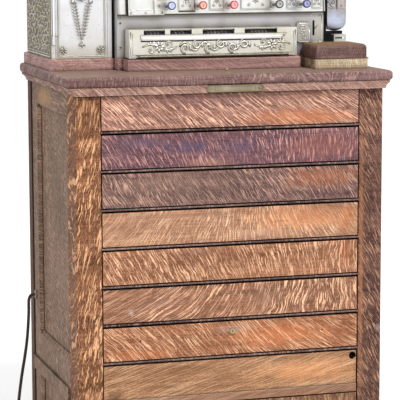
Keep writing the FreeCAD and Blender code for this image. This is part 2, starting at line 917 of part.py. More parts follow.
def key_panel():
    upright = block((panel_left, panel_right), (0, panel_sheet), (0, panel_height))
    strip = block((slot_strip_left + sheet, slot_strip_right), (0, panel_sheet), (0, panel_height))
    slot_back = block((slot_strip_left + sheet, panel_left + 1), (panel_sheet, 2 * panel_sheet),
                      (0, panel_height))
    labels = []
    for left, right in zip(label_left, label_right):
        labels.append(block((left, right), (-label_thickness, 0), (label_foot, panel_height - label_foot)))
    bores = []
    collars = []
    for x in column_places:
        for z in key_heights():
            bores.append(rod(stem_radius + shaft_clearance, (x, -20, z), (0, 1, 0), 80))
            collars.append(rod(collar_radius, (x, -collar_length, z), (0, 1, 0), collar_length))
    face = upright.fuse([strip, slot_back] + labels + collars).cut(Part.makeCompound(bores))
    guide = block((case_x[0] + sheet, case_x[1] - sheet),
                  (guide_plate_back, guide_plate_back + sheet), (label_foot, panel_height - label_foot))
    guide = guide.cut(Part.makeCompound(bores))
    housing = block((panel_left, housing_right), (-housing_projection, 0),
                    (-housing_drop, panel_height))
    edges = edges_where(housing, lambda box: near(box.YMin, -housing_projection)
                        and near(box.YMax, -housing_projection))
    housing = housing.makeFillet(2.0, edges)
    lip = block((panel_left, panel_right), (panel_sheet, panel_projection - door_gap), (0, panel_sheet))
    solids = [face.fuse(lip).removeSplitter(), guide, housing]
    return [on_panel(solid) for solid in solids]


def ticket_key(x, height):
    reach = key_reach
    stem = rod(stem_radius, (x, -reach, height), (0, 1, 0), reach + guide_plate_back + stem_tail)
    cap = rod(key_radius, (x, -reach - key_thickness, height), (0, 1, 0), key_thickness)
    rim = edges_where(cap, lambda box: near(box.YMin, -reach - key_thickness)
                      and near(box.YMax, -reach - key_thickness))
    cap = cap.makeFillet(1.2, rim)
    return on_panel(cap.fuse(stem).removeSplitter())


def hood():
    base = register_floor + case_height
    y = (behind(hood_setback), behind(hood_back))
    z = (base, base + hood_height)
    outer = block((hood_left, hood_right), y, z)

    def top_long(box):
        return near(box.ZMin, z[1]) and near(box.ZMax, z[1]) and near(box.YMin, box.YMax)

    outer = outer.makeFillet(hood_round, edges_where(outer, top_long))
    inner = block((hood_left + hood_wall, hood_right - hood_wall),
                  (y[0] + hood_wall, y[1] - hood_wall), (z[0] - 1, z[1] - hood_wall))
    inner_edges = edges_where(inner, lambda box: near(box.ZMin, z[1] - hood_wall)
                              and near(box.YMin, box.YMax))
    inner = inner.makeFillet(hood_round - hood_wall, inner_edges)
    window = block(glass_x, (y[0] - 1, y[0] + hood_wall + 1), glass_z())
    return outer.cut(inner).cut(window)


glass_x = (hood_left + glass_side, hood_right - glass_side)


def glass_z():
    base = register_floor + case_height
    return base + glass_foot, base + glass_foot + glass_height


def indicator_glass():
    y = behind(hood_setback)
    middle = y + hood_wall / 2
    return block(glass_x, (middle - glass_thickness / 2, middle + glass_thickness / 2), glass_z())


def indicator_tablets():
    """Number tablets that stand on one bar behind the glass."""
    base = register_floor + case_height
    y = behind(hood_setback) + tablet_setback
    x = (hood_left + hood_wall, hood_right - hood_wall)
    bar_z = (base, base + glass_foot)
    shape = block(x, (y, y + 3 * tablet_thickness), bar_z)
    pitch = (glass_x[1] - glass_x[0]) / tablet_count
    for number in range(tablet_count):
        centre = glass_x[0] + (number + 0.5) * pitch
        shape = shape.fuse(block((centre - tablet_width / 2, centre + tablet_width / 2),
                                 (y, y + tablet_thickness),
                                 (bar_z[1], bar_z[1] + tablet_height)))
    return shape.removeSplitter()


motor_y = (behind(motor_setback), behind(motor_setback + motor_length))
motor_z = (board_top + motor_foot, board_top + motor_foot + motor_height)
rotor_axis = ((motor_left + motor_right) / 2, motor_z[0] + motor_round * 2)
rotor_start = motor_y[1] - motor_cap - hinge_gap - rotor_length


def motor_housing():
    body = block((motor_left, motor_right), (motor_y[0], motor_y[1] - motor_cap), motor_z)

    def low_edge(box):
        level = near(box.ZMin, motor_z[0]) and near(box.ZMax, motor_z[0])
        return level and not near(box.YMin, motor_y[1] - motor_cap)

    body = body.makeFillet(motor_round, edges_where(body, low_edge))
    x, z = rotor_axis
    cavity = rod(rotor_radius + rotor_air_gap, (x, motor_y[0] + motor_front_wall, z), (0, 1, 0),
                 motor_length)
    nose_bore = rod(rotor_shaft_radius + shaft_clearance, (x, motor_y[0] + motor_front_wall / 2, z),
                    (0, 1, 0), motor_front_wall)
    cap = rod(rotor_radius + rotor_air_gap + 3, (x, motor_y[1] - motor_cap, z), (0, 1, 0), motor_cap)
    cap = cap.cut(rod(rotor_shaft_radius + shaft_clearance, (x, motor_y[1] - motor_cap - 1, z),
                      (0, 1, 0), motor_cap + 2))
    return body.cut(cavity).cut(nose_bore), cap


def motor_rotor():
    x, z = rotor_axis
    core = rod(rotor_radius, (x, rotor_start, z), (0, 1, 0), rotor_length)
    nose = motor_y[0] + motor_front_wall / 2 + hinge_gap
    tail = motor_y[1] + hinge_gap + pulley_width
    shaft = rod(rotor_shaft_radius, (x, nose, z), (0, 1, 0), tail - nose)
    pulley = rod(pulley_radius, (x, motor_y[1] + hinge_gap, z), (0, 1, 0), pulley_width)
    groove = tube(pulley_radius + 1, pulley_radius - 3,
                  (x, motor_y[1] + hinge_gap + pulley_width / 3, z), (0, 1, 0), pulley_width / 3)
    return core.fuse([shaft, pulley.cut(groove)]).removeSplitter()


def motor_bracket():
    y = (behind(bracket_setback), behind(bracket_setback + bracket_thickness))
    upright = block((case_right + main_plinth_margin, motor_left), y,
                    (board_top, board_top + bracket_height))
    arm = block((case_right, motor_left), y,
                (register_floor, board_top + bracket_height))
    foot = block((case_right + main_plinth_margin, motor_right - bracket_foot_inset), y,
                 (board_top, motor_z[0]))
    return upright.fuse([arm, foot]).removeSplitter()


slip_x = (slip_left, slip_right)
slip_y = (behind(slip_setback), behind(slip_back))
slip_z = (board_top, board_top + slip_base_height)


def slip_box_base():
    inner_x = (slip_x[0] + slip_wall, slip_x[1] - slip_wall)
    inner_y = (slip_y[0] + slip_wall, slip_y[1] - slip_wall)
    start, length = slip_hinge_place()
    lugs = [block((slip_x[1] - slip_wall, start[0]), (start[1] + offset, start[1] + offset + run),
                  (slip_z[1] - hinge_radius, slip_z[1]))
            for offset, run in hinge_spans(length)[::2]]
    hinge = hinge_fixed(start, (0, 1, 0), length).fuse(lugs)
    wall_right = block((inner_x[1], slip_x[1]), slip_y, slip_z).fuse(hinge)
    sleeve_offset, sleeve_run = hinge_spans(length)[1]
    relief = block((start[0] - hinge_radius - hinge_gap, start[0] + hinge_radius + hinge_gap),
                   (start[1] + sleeve_offset - hinge_gap, start[1] + sleeve_offset + sleeve_run + hinge_gap),
                   (start[2] - hinge_radius - hinge_gap, start[2] + hinge_radius + hinge_gap))
    pin = rod(hinge_pin_radius, start, (0, 1, 0), length)
    wall_right = wall_right.cut(relief).fuse(pin).removeSplitter()
    return [
        block(inner_x, inner_y, (slip_z[0], slip_z[0] + slip_floor)),
        block((slip_x[0], inner_x[0]), slip_y, slip_z),
        wall_right,
        block(inner_x, (slip_y[0], inner_y[0]), slip_z),
        block(inner_x, (inner_y[1], slip_y[1]), slip_z),
    ]


def slip_hinge_place():
    """The lid's hinge runs along the right wall of the box."""
    start = (slip_x[1] + hinge_radius, slip_y[0] + 10, slip_z[1])
    return start, slip_y[1] - slip_y[0] - 20


def slip_box_lid():
    x = (slip_x[0] + slip_lid_inset, slip_x[1] - slip_lid_inset)
    y = (slip_y[0] + slip_lid_inset, slip_y[1] - slip_lid_inset)
    z = (slip_z[1] + lid_seat_gap, slip_z[1] + lid_seat_gap + slip_lid_height)
    outer = block(x, y, z)

    def rounded(box):
        level = near(box.ZMin, z[1]) and near(box.ZMax, z[1])
        return level and not near(box.YMin, y[1])

    outer = outer.makeFillet(slip_lid_round, edges_where(outer, rounded))
    wall = slip_lid_wall
    inner = block((x[0] + wall, x[1] - wall), (y[0] + wall, y[1] - wall), (z[0] - 1, z[1] - wall))
    start, length = slip_hinge_place()
    sleeve = hinge_moving(start, (0, 1, 0), length)
    offset, run = hinge_spans(length)[1]
    leaf = block((x[1] - wall, start[0]), (start[1] + offset, start[1] + offset + run),
                 (z[0] + hinge_pin_radius, z[0] + hinge_pin_radius + 2))
    lid = outer.cut(inner).fuse([sleeve, leaf])
    return lid.cut(rod(hinge_pin_radius + hinge_clearance, start, (0, 1, 0), length)).removeSplitter()


def slip_guide():
    """The nickel guide that stands behind the slip box."""
    y = behind(guide_setback)
    x = (guide_left, guide_right)
    plate = block(x, (y, y + guide_sheet), (board_top, board_top + guide_top))
    foot = block(x, (y, y + guide_foot), (board_top, board_top + guide_sheet))
    roof = block(x, (y, y + guide_foot), (board_top + guide_top - guide_sheet, board_top + guide_top))
    slot_top = board_top + guide_top - guide_slot_drop
    slot = block((x[0] + 3, x[1] - 3), (y - 1, y + guide_sheet + 1),
                 (slot_top - guide_slot_height, slot_top))
    return plate.fuse([foot, roof]).cut(slot).removeSplitter()


cord_y = behind(cord_setback)


def cord_gland():
    disc = rod(gland_radius, (-half_width - gland_length, cord_y, gland_height), (1, 0, 0),
               gland_length)
    rim = edges_where(disc, lambda box: near(box.XMax, -half_width - gland_length))
    return disc.makeFillet(gland_length * 0.4, rim)


def cord_path(points):
    """Straight runs joined by tangent arcs, each as large as its two runs allow."""
    edges = []
    start = points[0]
    radii = []
    for before, corner, after in zip(points, points[1:], points[2:]):
        inward = (corner - before).normalize()
        outward = (after - corner).normalize()
        reach = 0.45 * min((corner - before).Length, (after - corner).Length)
        half_turn = inward.getAngle(outward) / 2
        radius = reach / math.tan(half_turn)
        radii.append(radius)
        first = corner - inward * reach
        last = corner + outward * reach
        bisector = (outward - inward).normalize()
        centre = corner + bisector * (radius / math.cos(half_turn))
        middle = centre - bisector * radius
        edges.append(Part.LineSegment(start, first).toShape())
        edges.append(Part.Arc(first, middle, last).toShape())
        start = last
    edges.append(Part.LineSegment(start, points[-1]).toShape())
    return Part.Wire(edges), radii


def pipe(path, start, direction):
    ring = Part.Wire(Part.makeCircle(cord_radius, start, direction))
    return path.makePipeShell([ring], True, False)


def report_volume(name, solid, path):
    ideal = math.pi * cord_radius ** 2 * path.Length
    print(name, "length", round(path.Length), "volume over section times length",
          round(solid.Volume / ideal, 4))


def cord_tube():
    points = [Vector(x, cord_y, z) for x, z in cord_route]
    path, radii = cord_path(points)
    print("cord radii", [round(radius) for radius in radii])
    solid = pipe(path, points[0], points[1] - points[0])
    report_volume("cord tube", solid, path)
    return solid


coil_start = Vector(cord_route[-1][0], cord_y, cord_route[-1][1])
coil_pitch = 2 * cord_radius + coil_gap
plug_radius = coil_start.z + coil_pitch - plug_floor_gap


def coil_path():
    """Half turns that draw in on the floor, climb a layer in the innermost one and let out again."""
    inward = [coil_radius - number * coil_pitch / 2 for number in range(coil_half_turns)]
    innermost = coil_radius - coil_half_turns * coil_pitch / 2
    heading = Vector(-1, 0, 0)
    here = coil_start + heading * coil_lead
    edges = [Part.LineSegment(coil_start, here).toShape()]
    for radius in inward + [innermost] + inward[::-1]:
        climb = coil_pitch if radius == innermost else 0.0
        across = Vector(0, 2 * radius * heading.x, climb)
        middle = here + across * 0.5 + heading * (across.Length / 2)
        edges.append(Part.Arc(here, middle, here + across).toShape())
        here = here + across
        heading = -heading
    end = here + heading * coil_tail
    edges.append(Part.LineSegment(here, end).toShape())
    return Part.Wire(edges), end, heading


def least_gap(points, apart):
    """The least gap of a cord to itself, from evenly spaced points along its middle line."""
    return min(points[first].distanceToPoint(other)
               for first in range(len(points))
               for other in points[first + apart:]) - 2 * cord_radius


def cord_coil():
    path, _, _ = coil_path()
    solid = pipe(path, coil_start, Vector(-1, 0, 0))
    report_volume("cord coil", solid, path)
    tube_path, _ = cord_path([Vector(x, cord_y, z) for x, z in cord_route])
    points = [point for wire in (tube_path, path) for edge in wire.Edges
              for point in edge.discretize(max(2, round(edge.Length / gap_step)))]
    print("cord's least gap to itself", round(least_gap(points, round(6 * cord_radius / gap_step)), 2))
    return solid


def cord_plug():
    _, end, along = coil_path()
    neck = rod(plug_neck_radius, tuple(end), tuple(along), plug_neck_length)
    body_start = end + along * (plug_neck_length - 1)
    body = rod(plug_radius, tuple(body_start), tuple(along), plug_length)
    body = body.makeFillet(3.0, edges_where(body, lambda box: near(box.XMin, box.XMax)))
    face = body_start + along * (plug_length - 1)
    plug = neck.fuse(body)
    for side in (-1, 1):
        centre_y = face.y + side * blade_spacing / 2
        x = sorted((face.x, face.x + along.x * (blade_length + 1)))
        plug = plug.fuse(block(x, (centre_y - blade_thickness / 2, centre_y + blade_thickness / 2),
                               (face.z - blade_width / 2, face.z + blade_width / 2)))
    return plug.removeSplitter()


def build():
    os.makedirs("parts", exist_ok=True)
    save("top_board", top_board())
    save("cornice_moulding", *cornice())
    save("front_post_right", post())
    save("front_post_left", mirrored(post()))
    right_side = side_frame()
    save("side_frame_right", *right_side)
    save("side_frame_left", *[mirrored(solid) for solid in right_side])
    save("side_panels", *side_panels())
    save("back_panel", back_panel())
    save("base_plinth", *plinth())
    save("drawer_rails", *drawer_rails())
    save("drawer_runners", *drawer_runners())
    for row in range(1, rows + 1):
        save("drawer_" + str(row), *drawer(row))
    save("lock_barrel", lock_barrel())
    save("lock_plug", lock_plug())
    save("name_plate", name_plate())
    save("lid_rest_pin", rest_pin())
    save("register_plinths", tower_plinth(), *main_plinth())
    save("tower_case", *tower_case())
    save("tower_door", tower_door())
    save("ticket_roll", *ticket_roll())
    save("main_case", *main_case())
    save("counter_lid", counter_lid())
    save("counter_wheels", counter_wheels())
    save("key_panel", *key_panel())
    for column, x in enumerate(column_places, start=1):
        for row, height in enumerate(key_heights(), start=1):
            save("key_" + str(column) + "_" + str(row), ticket_key(x, height))
    save("indicator_hood", hood())
    save("indicator_glass", indicator_glass())
    save("indicator_tablets", indicator_tablets())
    save("motor_housing", *motor_housing())
    save("motor_rotor", motor_rotor())
    save("motor_bracket", motor_bracket())
    save("slip_box_base", *slip_box_base())
    save("slip_box_lid", slip_box_lid())
    save("slip_guide", slip_guide())
    save("cord_gland", cord_gland())
    save("cord_tube", cord_tube())
    save("cord_coil", cord_coil())
    save("cord_plug", cord_plug())


build()
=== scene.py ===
import random
from math import asin, cos, hypot, pi, radians, sin

import bmesh
import bpy
from mathutils import Matrix, Vector


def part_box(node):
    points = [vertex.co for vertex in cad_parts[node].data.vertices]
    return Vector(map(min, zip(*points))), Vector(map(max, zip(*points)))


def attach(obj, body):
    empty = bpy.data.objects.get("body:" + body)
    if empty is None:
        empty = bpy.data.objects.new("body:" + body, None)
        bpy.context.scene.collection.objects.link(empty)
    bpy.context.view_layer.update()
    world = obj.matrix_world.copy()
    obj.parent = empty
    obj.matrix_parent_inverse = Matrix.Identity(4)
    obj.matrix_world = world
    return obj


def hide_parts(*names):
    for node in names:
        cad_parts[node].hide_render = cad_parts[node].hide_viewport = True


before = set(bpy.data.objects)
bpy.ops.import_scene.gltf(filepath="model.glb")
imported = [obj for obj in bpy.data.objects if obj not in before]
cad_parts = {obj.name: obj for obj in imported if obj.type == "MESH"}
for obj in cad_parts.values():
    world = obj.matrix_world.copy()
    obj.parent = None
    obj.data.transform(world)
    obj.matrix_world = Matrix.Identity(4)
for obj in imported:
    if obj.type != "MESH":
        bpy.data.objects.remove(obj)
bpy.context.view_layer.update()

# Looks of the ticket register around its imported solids. Sizes are in millimetres, and MM turns
# them into metres where a mesh is made. Colours in tables are display colours, 0 to 255.
MM = 0.001
# Painted shade for corners and gaps in the wood
PAINTED_SHADE = (0.012, 0.007, 0.006, 1.0)
DARK_FIBRE = (0.03, 0.012, 0.008, 1.0)
# Tarnish colours, also used for painted shade in corners and on the flanks of ornament
TARNISH_AND_SHADE = (0.06, 0.046, 0.024, 1.0)
DEEP_TARNISH_AND_SHADE = (0.035, 0.028, 0.015, 1.0)


def edges(node):
    """Lowest and highest corner of a node, in millimetres."""
    low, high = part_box(node)
    return low / MM, high / MM


def tint(red, green, blue):
    """A display colour as the renderer's linear colour."""
    def linear(value):
        value /= 255
        return value / 12.92 if value <= 0.04045 else ((value + 0.055) / 1.055) ** 2.4
    return linear(red), linear(green), linear(blue), 1.0


def shaded(colour, share):
    return tuple(c * share for c in colour[:3]) + (1.0,)


def around(a, b, radius, angle):
    return a + radius * cos(angle), b + radius * sin(angle)


# Materials

class Nodes:
    """Short calls that add nodes to one tree."""

    def __init__(self, tree):
        self.tree = tree

    def node(self, kind, **settings):
        made = self.tree.nodes.new(kind)
        for name, value in settings.items():
            setattr(made, name, value)
        return made

    def put(self, socket, value):
        if isinstance(value, bpy.types.NodeSocket):
            self.tree.links.new(value, socket)
        else:
            socket.default_value = value

    def math(self, operation, *values):
        made = self.node("ShaderNodeMath", operation=operation)
        for socket, value in zip(made.inputs, values):
            self.put(socket, value)
        return made.outputs[0]

    def plus(self, first, second):
        return self.math("ADD", first, second)

    def minus(self, first, second):
        return self.math("SUBTRACT", first, second)

    def times(self, first, second):
        return self.math("MULTIPLY", first, second)

    def fade(self, value, low, high, start=0.0, end=1.0):
        """value from low to high, as start to end."""
        made = self.node("ShaderNodeMapRange")
        for socket, entry in zip(made.inputs, (value, low, high, start, end)):
            self.put(socket, entry)
        return made.outputs[0]


class Graph(Nodes):
    """One material with a principled shader."""

    def __init__(self, name):
        self.material = bpy.data.materials.new(name)
        self.material.use_nodes = True
        super().__init__(self.material.node_tree)
        self.tree.nodes.clear()
        self.shader = self.node("ShaderNodeBsdfPrincipled")
        output = self.node("ShaderNodeOutputMaterial")
        self.put(output.inputs["Surface"], self.shader.outputs[0])
        coordinates = self.node("ShaderNodeTexCoord")
        self.place = coordinates.outputs["Object"]
        self.axis = self.parts(self.place)
        self.facing = self.parts(coordinates.outputs["Normal"])

    def parts(self, vector):
        split = self.node("ShaderNodeSeparateXYZ")
        self.put(split.inputs[0], vector)
        return dict(zip("XYZ", split.outputs))

    def vector(self, x, y, z):
        made = self.node("ShaderNodeCombineXYZ")
        for socket, value in zip(made.inputs, (x, y, z)):
            self.put(socket, value)
        return made.outputs[0]

    def noise(self, vector, scale=1.0, detail=2.0, distortion=0.0):
        made = self.node("ShaderNodeTexNoise")
        for name, value in (("Vector", vector), ("Scale", scale), ("Detail", detail),
                            ("Distortion", distortion)):
            self.put(made.inputs[name], value)
        return made.outputs["Fac"]

    def cells(self, vector, scale):
        made = self.node("ShaderNodeTexVoronoi")
        self.put(made.inputs["Vector"], vector)
        self.put(made.inputs["Scale"], scale)
        return made.outputs["Distance"]

    def mix(self, share, first, second):
        made = self.node("ShaderNodeMix", data_type="RGBA")
        for index, value in ((0, share), (6, first), (7, second)):
            self.put(made.inputs[index], value)
        return made.outputs[2]

    def blend(self, share, first, second):
        """As mix, for plain values."""
        return self.plus(self.times(first, self.minus(1.0, share)), self.times(second, share))

    def spot(self, centre, size):
        """1 at a place, falling to 0 at size from it along each axis."""
        rough = self.place
        for operation, values in (("SUBTRACT", centre), ("DIVIDE", size)):
            made = self.node("ShaderNodeVectorMath", operation=operation)
            self.put(made.inputs[0], rough)
            made.inputs[1].default_value = [v * MM for v in values]
            rough = made.outputs[0]
        length = self.node("ShaderNodeVectorMath", operation="LENGTH")
        self.put(length.inputs[0], rough)
        ragged = self.noise(self.place, max(60.0, 2400.0 / max(size)), 3.0)
        rough = self.plus(length.outputs["Value"], self.times(ragged, 1.3))
        return self.fade(rough, 0.95, 1.65, 1.0, 0.0)

    def stained(self, colour, spots):
        """colour under spots of (centre, half sizes, colour, weight): stains, and also painted shade
        and painted reflections.
        """
        for centre, size, stain, weight in spots:
            colour = self.mix(self.times(self.spot(centre, size), weight), colour, tint(*stain))
        return colour

    def crevice(self, reach, open_at=0.95):
        """How closed in a point is: 0 in the open, 1 in a corner."""
        made = self.node("ShaderNodeAmbientOcclusion", samples=6)
        made.inputs["Distance"].default_value = reach * MM
        return self.fade(made.outputs["AO"], 0.35, open_at, 1.0, 0.0)

    def squareness(self, axes="XYZ"):
        """1 on faces that look along one of the axes, less on slanting ones."""
        most = 0.0
        for axis in axes:
            most = self.math("MAXIMUM", self.math("ABSOLUTE", self.facing[axis]), most)
        return most

    def between(self, axis, low, high):
        """1 between two places on an axis."""
        return self.times(self.math("GREATER_THAN", self.axis[axis], low * MM),
                          self.math("LESS_THAN", self.axis[axis], high * MM))

    def finish(self, colour, roughness, height, depth=0.3, strength=0.5, **constants):
        """Sets the shader. depth is the bump's height."""
        self.put(self.shader.inputs["Base Color"], colour)
        self.put(self.shader.inputs["Roughness"], roughness)
        for name, value in constants.items():
            self.shader.inputs[name.replace("_", " ")].default_value = value
        bump = self.node("ShaderNodeBump")
        bump.inputs["Strength"].default_value = strength
        bump.inputs["Distance"].default_value = depth * MM
        self.put(bump.inputs["Height"], height)
        self.put(self.shader.inputs["Normal"], bump.outputs[0])
        return self.material


def oak(name, dark, light, fleck, grain="X", slopes=(-0.8, -0.8, -0.8), amount=0.6,
        spacing=5.0, middle=0.0, reach=560.0, spots=(), bare_behind=None, seed=0.0,
        cross=None, wear=0.35, bands_of=(), closed=None, top=None):
    """Quarter-sawn oak. The ray flecks lean by the three slopes at the start, middle and end of
    the board's reach along the grain, measured about the board's middle line. cross turns the
    grain between two places on Y, closed is (faces, axis, low, high) that lie in a gap and get
    painted shade, and bare_behind is where unstained wood begins. Corners get painted shade too."""
    dark, light, fleck = (tint(*c) for c in (dark, light, fleck))
    g = Graph(name)
    along = g.axis[grain]
    face = g.plus(g.axis["X"], g.axis["Y"]) if grain == "Z" else g.axis["Z"]
    third = g.axis["X" if grain == "Y" else "Y"]
    if cross is not None:
        rail = g.between("Y", *cross)
        along = g.blend(rail, along, g.axis["Y"])
        face = g.blend(rail, face, g.axis["Z"])
    across = g.minus(g.plus(face, g.times(third, 0.6)), middle * MM)
    share = g.fade(along, -reach / 2 * MM, reach / 2 * MM)
    slope = g.plus(g.fade(share, 0.0, 0.5, slopes[0], slopes[1]),
                   g.fade(share, 0.5, 1.0, 0.0, slopes[2] - slopes[1]))
    seeded = g.vector(g.plus(g.axis["X"], seed), g.plus(g.axis["Y"], seed * 0.37), g.axis["Z"])
    drift = g.times(g.minus(g.noise(seeded, 16.0, 1.0), 0.5), 0.022)
    jitter = g.times(g.minus(g.noise(seeded, 110.0, 2.0), 0.5), 0.004)
    lean = g.minus(along, g.times(slope, g.minus(face, middle * MM)))
    lean = g.plus(lean, g.plus(drift, jitter))

    def strands(run, width, depth, detail):
        """Noise drawn out along the flecks: run and width are its scales along and across."""
        return g.noise(g.vector(g.times(lean, run / (spacing * MM)), g.times(across, width), depth),
                       1.0, detail)

    rays = strands(2.1, 36.0, g.plus(third, seed), 1.6)
    thin = g.fade(strands(6.0, 120.0, seed, 1.0), 0.57, 0.66, 0.0, 0.5)
    pores = g.fade(strands(11.0, 60.0, seed + 4.0, 2.0), 0.5, 0.64, 0.0, 0.5)
    broken = g.fade(g.noise(seeded, 150.0, 3.0), 0.34, 0.5, 0.55, 1.0)
    patch = g.fade(g.noise(seeded, 11.0, 3.0), 0.34, 0.56, 0.5, 1.0)
    flecks = g.times(g.math("MAXIMUM", g.times(g.fade(rays, 0.55, 0.6), broken), thin),
                     g.times(patch, min(1.0, amount * 1.2)))
    fibre = g.noise(g.vector(g.times(along, 14.0), g.times(across, 620.0),
                             g.plus(g.times(third, 300.0), seed)), 1.0, 3.0)
    bands = g.noise(g.vector(g.times(along, 3.2), g.times(across, 46.0),
                             g.plus(third, seed * 2.0)), 1.0, 3.0, 0.6)
    colour = g.mix(g.fade(bands, 0.3, 0.7), dark, light)
    colour = g.mix(g.fade(fibre, 0.38, 0.62, 0.45, 0.0), colour, DARK_FIBRE)
    colour = g.mix(pores, colour, shaded(dark, 0.3))
    speckle = g.fade(g.noise(seeded, 330.0, 4.0), 0.38, 0.6, 0.45, 0.0)
    colour = g.mix(speckle, colour, shaded(dark, 0.25))
    cloud = g.fade(g.noise(seeded, 7.0, 4.0), 0.42, 0.68, 0.0, wear)
    colour = g.mix(cloud, colour, shaded(dark, 0.42))
    colour = g.stained(g.mix(flecks, colour, fleck), spots)
    if top is not None:
        share = g.times(g.math("GREATER_THAN", g.facing["Z"], 0.8), top[1])
        colour = g.mix(share, colour, tint(*top[0]))
    for low, high, stain, weight in bands_of:
        colour = g.mix(g.times(g.between("Z", low, high), weight), colour, tint(*stain))
    # Corners and recesses get painted shade.
    colour = g.mix(g.times(g.crevice(6.0), 0.85), colour, PAINTED_SHADE)
    # Faces that lie in a gap get painted shade.
    if closed is not None:
        axes, axis, low, high = closed
        gap_shade_mask = g.times(g.math("GREATER_THAN", g.squareness(axes), 0.8), g.between(axis, low, high))
        colour = g.mix(gap_shade_mask, colour, PAINTED_SHADE)
    if bare_behind is not None:
        inner = g.mix(g.fade(fibre, 0.35, 0.65), tint(150, 112, 72), tint(190, 152, 106))
        colour = g.mix(g.math("GREATER_THAN", g.axis["Y"], bare_behind * MM), colour, inner)
    roughness = g.fade(bands, 0.3, 0.7, 0.36, 0.56)
    height = g.minus(g.times(fibre, 0.7), g.times(flecks, 0.5))
    return g.finish(colour, roughness, height, 0.3, 0.6, Specular_IOR_Level=0.03)


def nickel(name, bright, patina, amount=0.5, roughness=0.3, stipple=0.0, stain=None,
           crevice=3.0, dirt_and_shade=TARNISH_AND_SHADE, spots=(), raised=False, marks=()):
    """Worn plate: cloudy patina, brushed streaks and dust specks; faces that look up get painted
    shade, and corners get tarnish and painted shade. Ornament that is raised gets painted shade on
    its flanks. marks are (places on X, on Z, colour, weight), and stain is the height over which
    the patina at the foot fades out."""
    bright, patina = tint(*bright), tint(*patina)
    g = Graph(name)
    clouds = g.fade(g.noise(g.place, 16.0, 5.0, 0.4), 0.4, 0.66, 0.0, amount)
    colour = g.mix(clouds, bright, patina)
    if stain is not None:
        low = g.fade(g.axis["Z"], stain[0] * MM, stain[1] * MM, 1.0, 0.0)
        low = g.times(low, g.fade(g.noise(g.place, 40.0, 3.0), 0.3, 0.6, 0.4, 1.0))
        colour = g.mix(low, colour, patina)
    specks = g.fade(g.noise(g.place, 340.0, 4.0), 0.66, 0.74, 0.0, 0.5)
    colour = g.stained(g.mix(specks, colour, dirt_and_shade), spots)
    for across, up, mark, weight in marks:
        share = g.times(g.between("X", *across), g.between("Z", *up))
        colour = g.mix(g.times(share, weight), colour, tint(*mark))
    # Faces that look up get painted shade.
    colour = g.mix(g.fade(g.facing["Z"], 0.3, 0.9, 0.0, 0.6), colour, tint(134, 130, 118))
    # Corners get tarnish and painted shade.
    colour = g.mix(g.times(g.crevice(crevice, 0.98), 0.95), colour, dirt_and_shade)
    # Raised ornament gets painted shade on its flanks.
    if raised:
        flank_shade = g.fade(g.squareness(), 0.62, 0.93, 1.0, 0.0)
        colour = g.mix(g.times(flank_shade, 0.95), colour, dirt_and_shade)
    streaks = g.noise(g.vector(g.times(g.axis["X"], 900.0), g.times(g.axis["Y"], 900.0),
                               g.times(g.axis["Z"], 30.0)), 1.0, 2.0)
    height = g.times(streaks, 0.12)
    if stipple:
        height = g.plus(height, g.times(g.cells(g.place, 620.0), stipple))
    rough = g.plus(g.fade(g.noise(g.place, 60.0, 3.0), 0.3, 0.7, roughness - 0.08,
                          roughness + 0.12), g.times(specks, 0.4))
    return g.finish(colour, rough, height, 0.35, 0.5, Metallic=0.85)


def plain(name, colour, second=None, roughness=0.4, scale=60.0, depth=0.1, **constants):
    """A smooth made surface with slight clouding, a fine texture and painted shade in its corners."""
    colour = tint(*colour)
    second = tint(*second) if second else shaded(colour, 0.6)
    g = Graph(name)
    shade = g.mix(g.fade(g.noise(g.place, scale, 4.0), 0.35, 0.68), colour, second)
    # Corners get painted shade.
    shade = g.mix(g.times(g.crevice(2.0), 0.5), shade, shaded(second, 0.3))
    rough = g.fade(g.noise(g.place, scale * 2.3, 3.0), 0.3, 0.7, roughness - 0.06, roughness + 0.1)
    return g.finish(shade, rough, g.noise(g.place, scale * 9, 3.0), depth, 0.4, **constants)


def braid(name, dark, light):
    """Two crossing sets of fine ribs, as on cloth-covered cord."""
    dark, light = tint(*dark), tint(*light)
    g = Graph(name)
    ribs = []
    for side in (-1.4, 1.4):
        lane = g.plus(g.plus(g.axis["X"], g.axis["Z"]), g.times(g.axis["Y"], side))
        ribs.append(g.math("SINE", g.times(lane, 3600.0)))
    weave = g.fade(g.times(*ribs), -1.0, 1.0)
    worn = g.fade(g.noise(g.place, 45.0, 4.0), 0.45, 0.7, 0.0, 0.6)
    colour = g.mix(worn, g.mix(g.times(weave, 0.5), dark, light), light)
    return g.finish(colour, 0.85, weave, 0.3, 0.7, Sheen_Weight=0.25)


def keytop(name, face, rim, centre):
    """Pale cap with a darker ring, in front of a plain metal stem. centre is the column's X."""
    face, rim = tint(*face), tint(*rim)
    g = Graph(name)
    back = g.minus(g.axis["Y"], panel_foot.y * MM)
    rise = g.minus(g.axis["Z"], panel_foot.z * MM)
    sine, cosine = sin(panel_tilt), cos(panel_tilt)
    depth = g.minus(g.times(back, cosine), g.times(rise, sine))
    up = g.plus(g.times(back, sine), g.times(rise, cosine))
    up = g.math("FLOORED_MODULO", g.minus(up, (levels[0] - KEY_PITCH / 2) * MM), KEY_PITCH * MM)
    up = g.minus(up, KEY_PITCH / 2 * MM)
    aside = g.minus(g.axis["X"], centre * MM)
    radius = g.math("SQRT", g.plus(g.times(up, up), g.times(aside, aside)))
    cap = g.math("LESS_THAN", depth, -KEY_REACH * MM)
    worn = g.fade(g.noise(g.place, 300.0, 3.0), 0.4, 0.7, 0.0, 0.4)
    shade = g.mix(g.fade(radius, 6.2 * MM, 6.8 * MM), g.mix(worn, face, rim), rim)
    shade = g.mix(cap, tint(124, 114, 84), shade)
    g.put(g.shader.inputs["Metallic"], g.minus(1.0, cap))
    return g.finish(shade, 0.35, g.noise(g.place, 500.0, 2.0), 0.05, 0.3, Specular_IOR_Level=0.2)


# Pieces

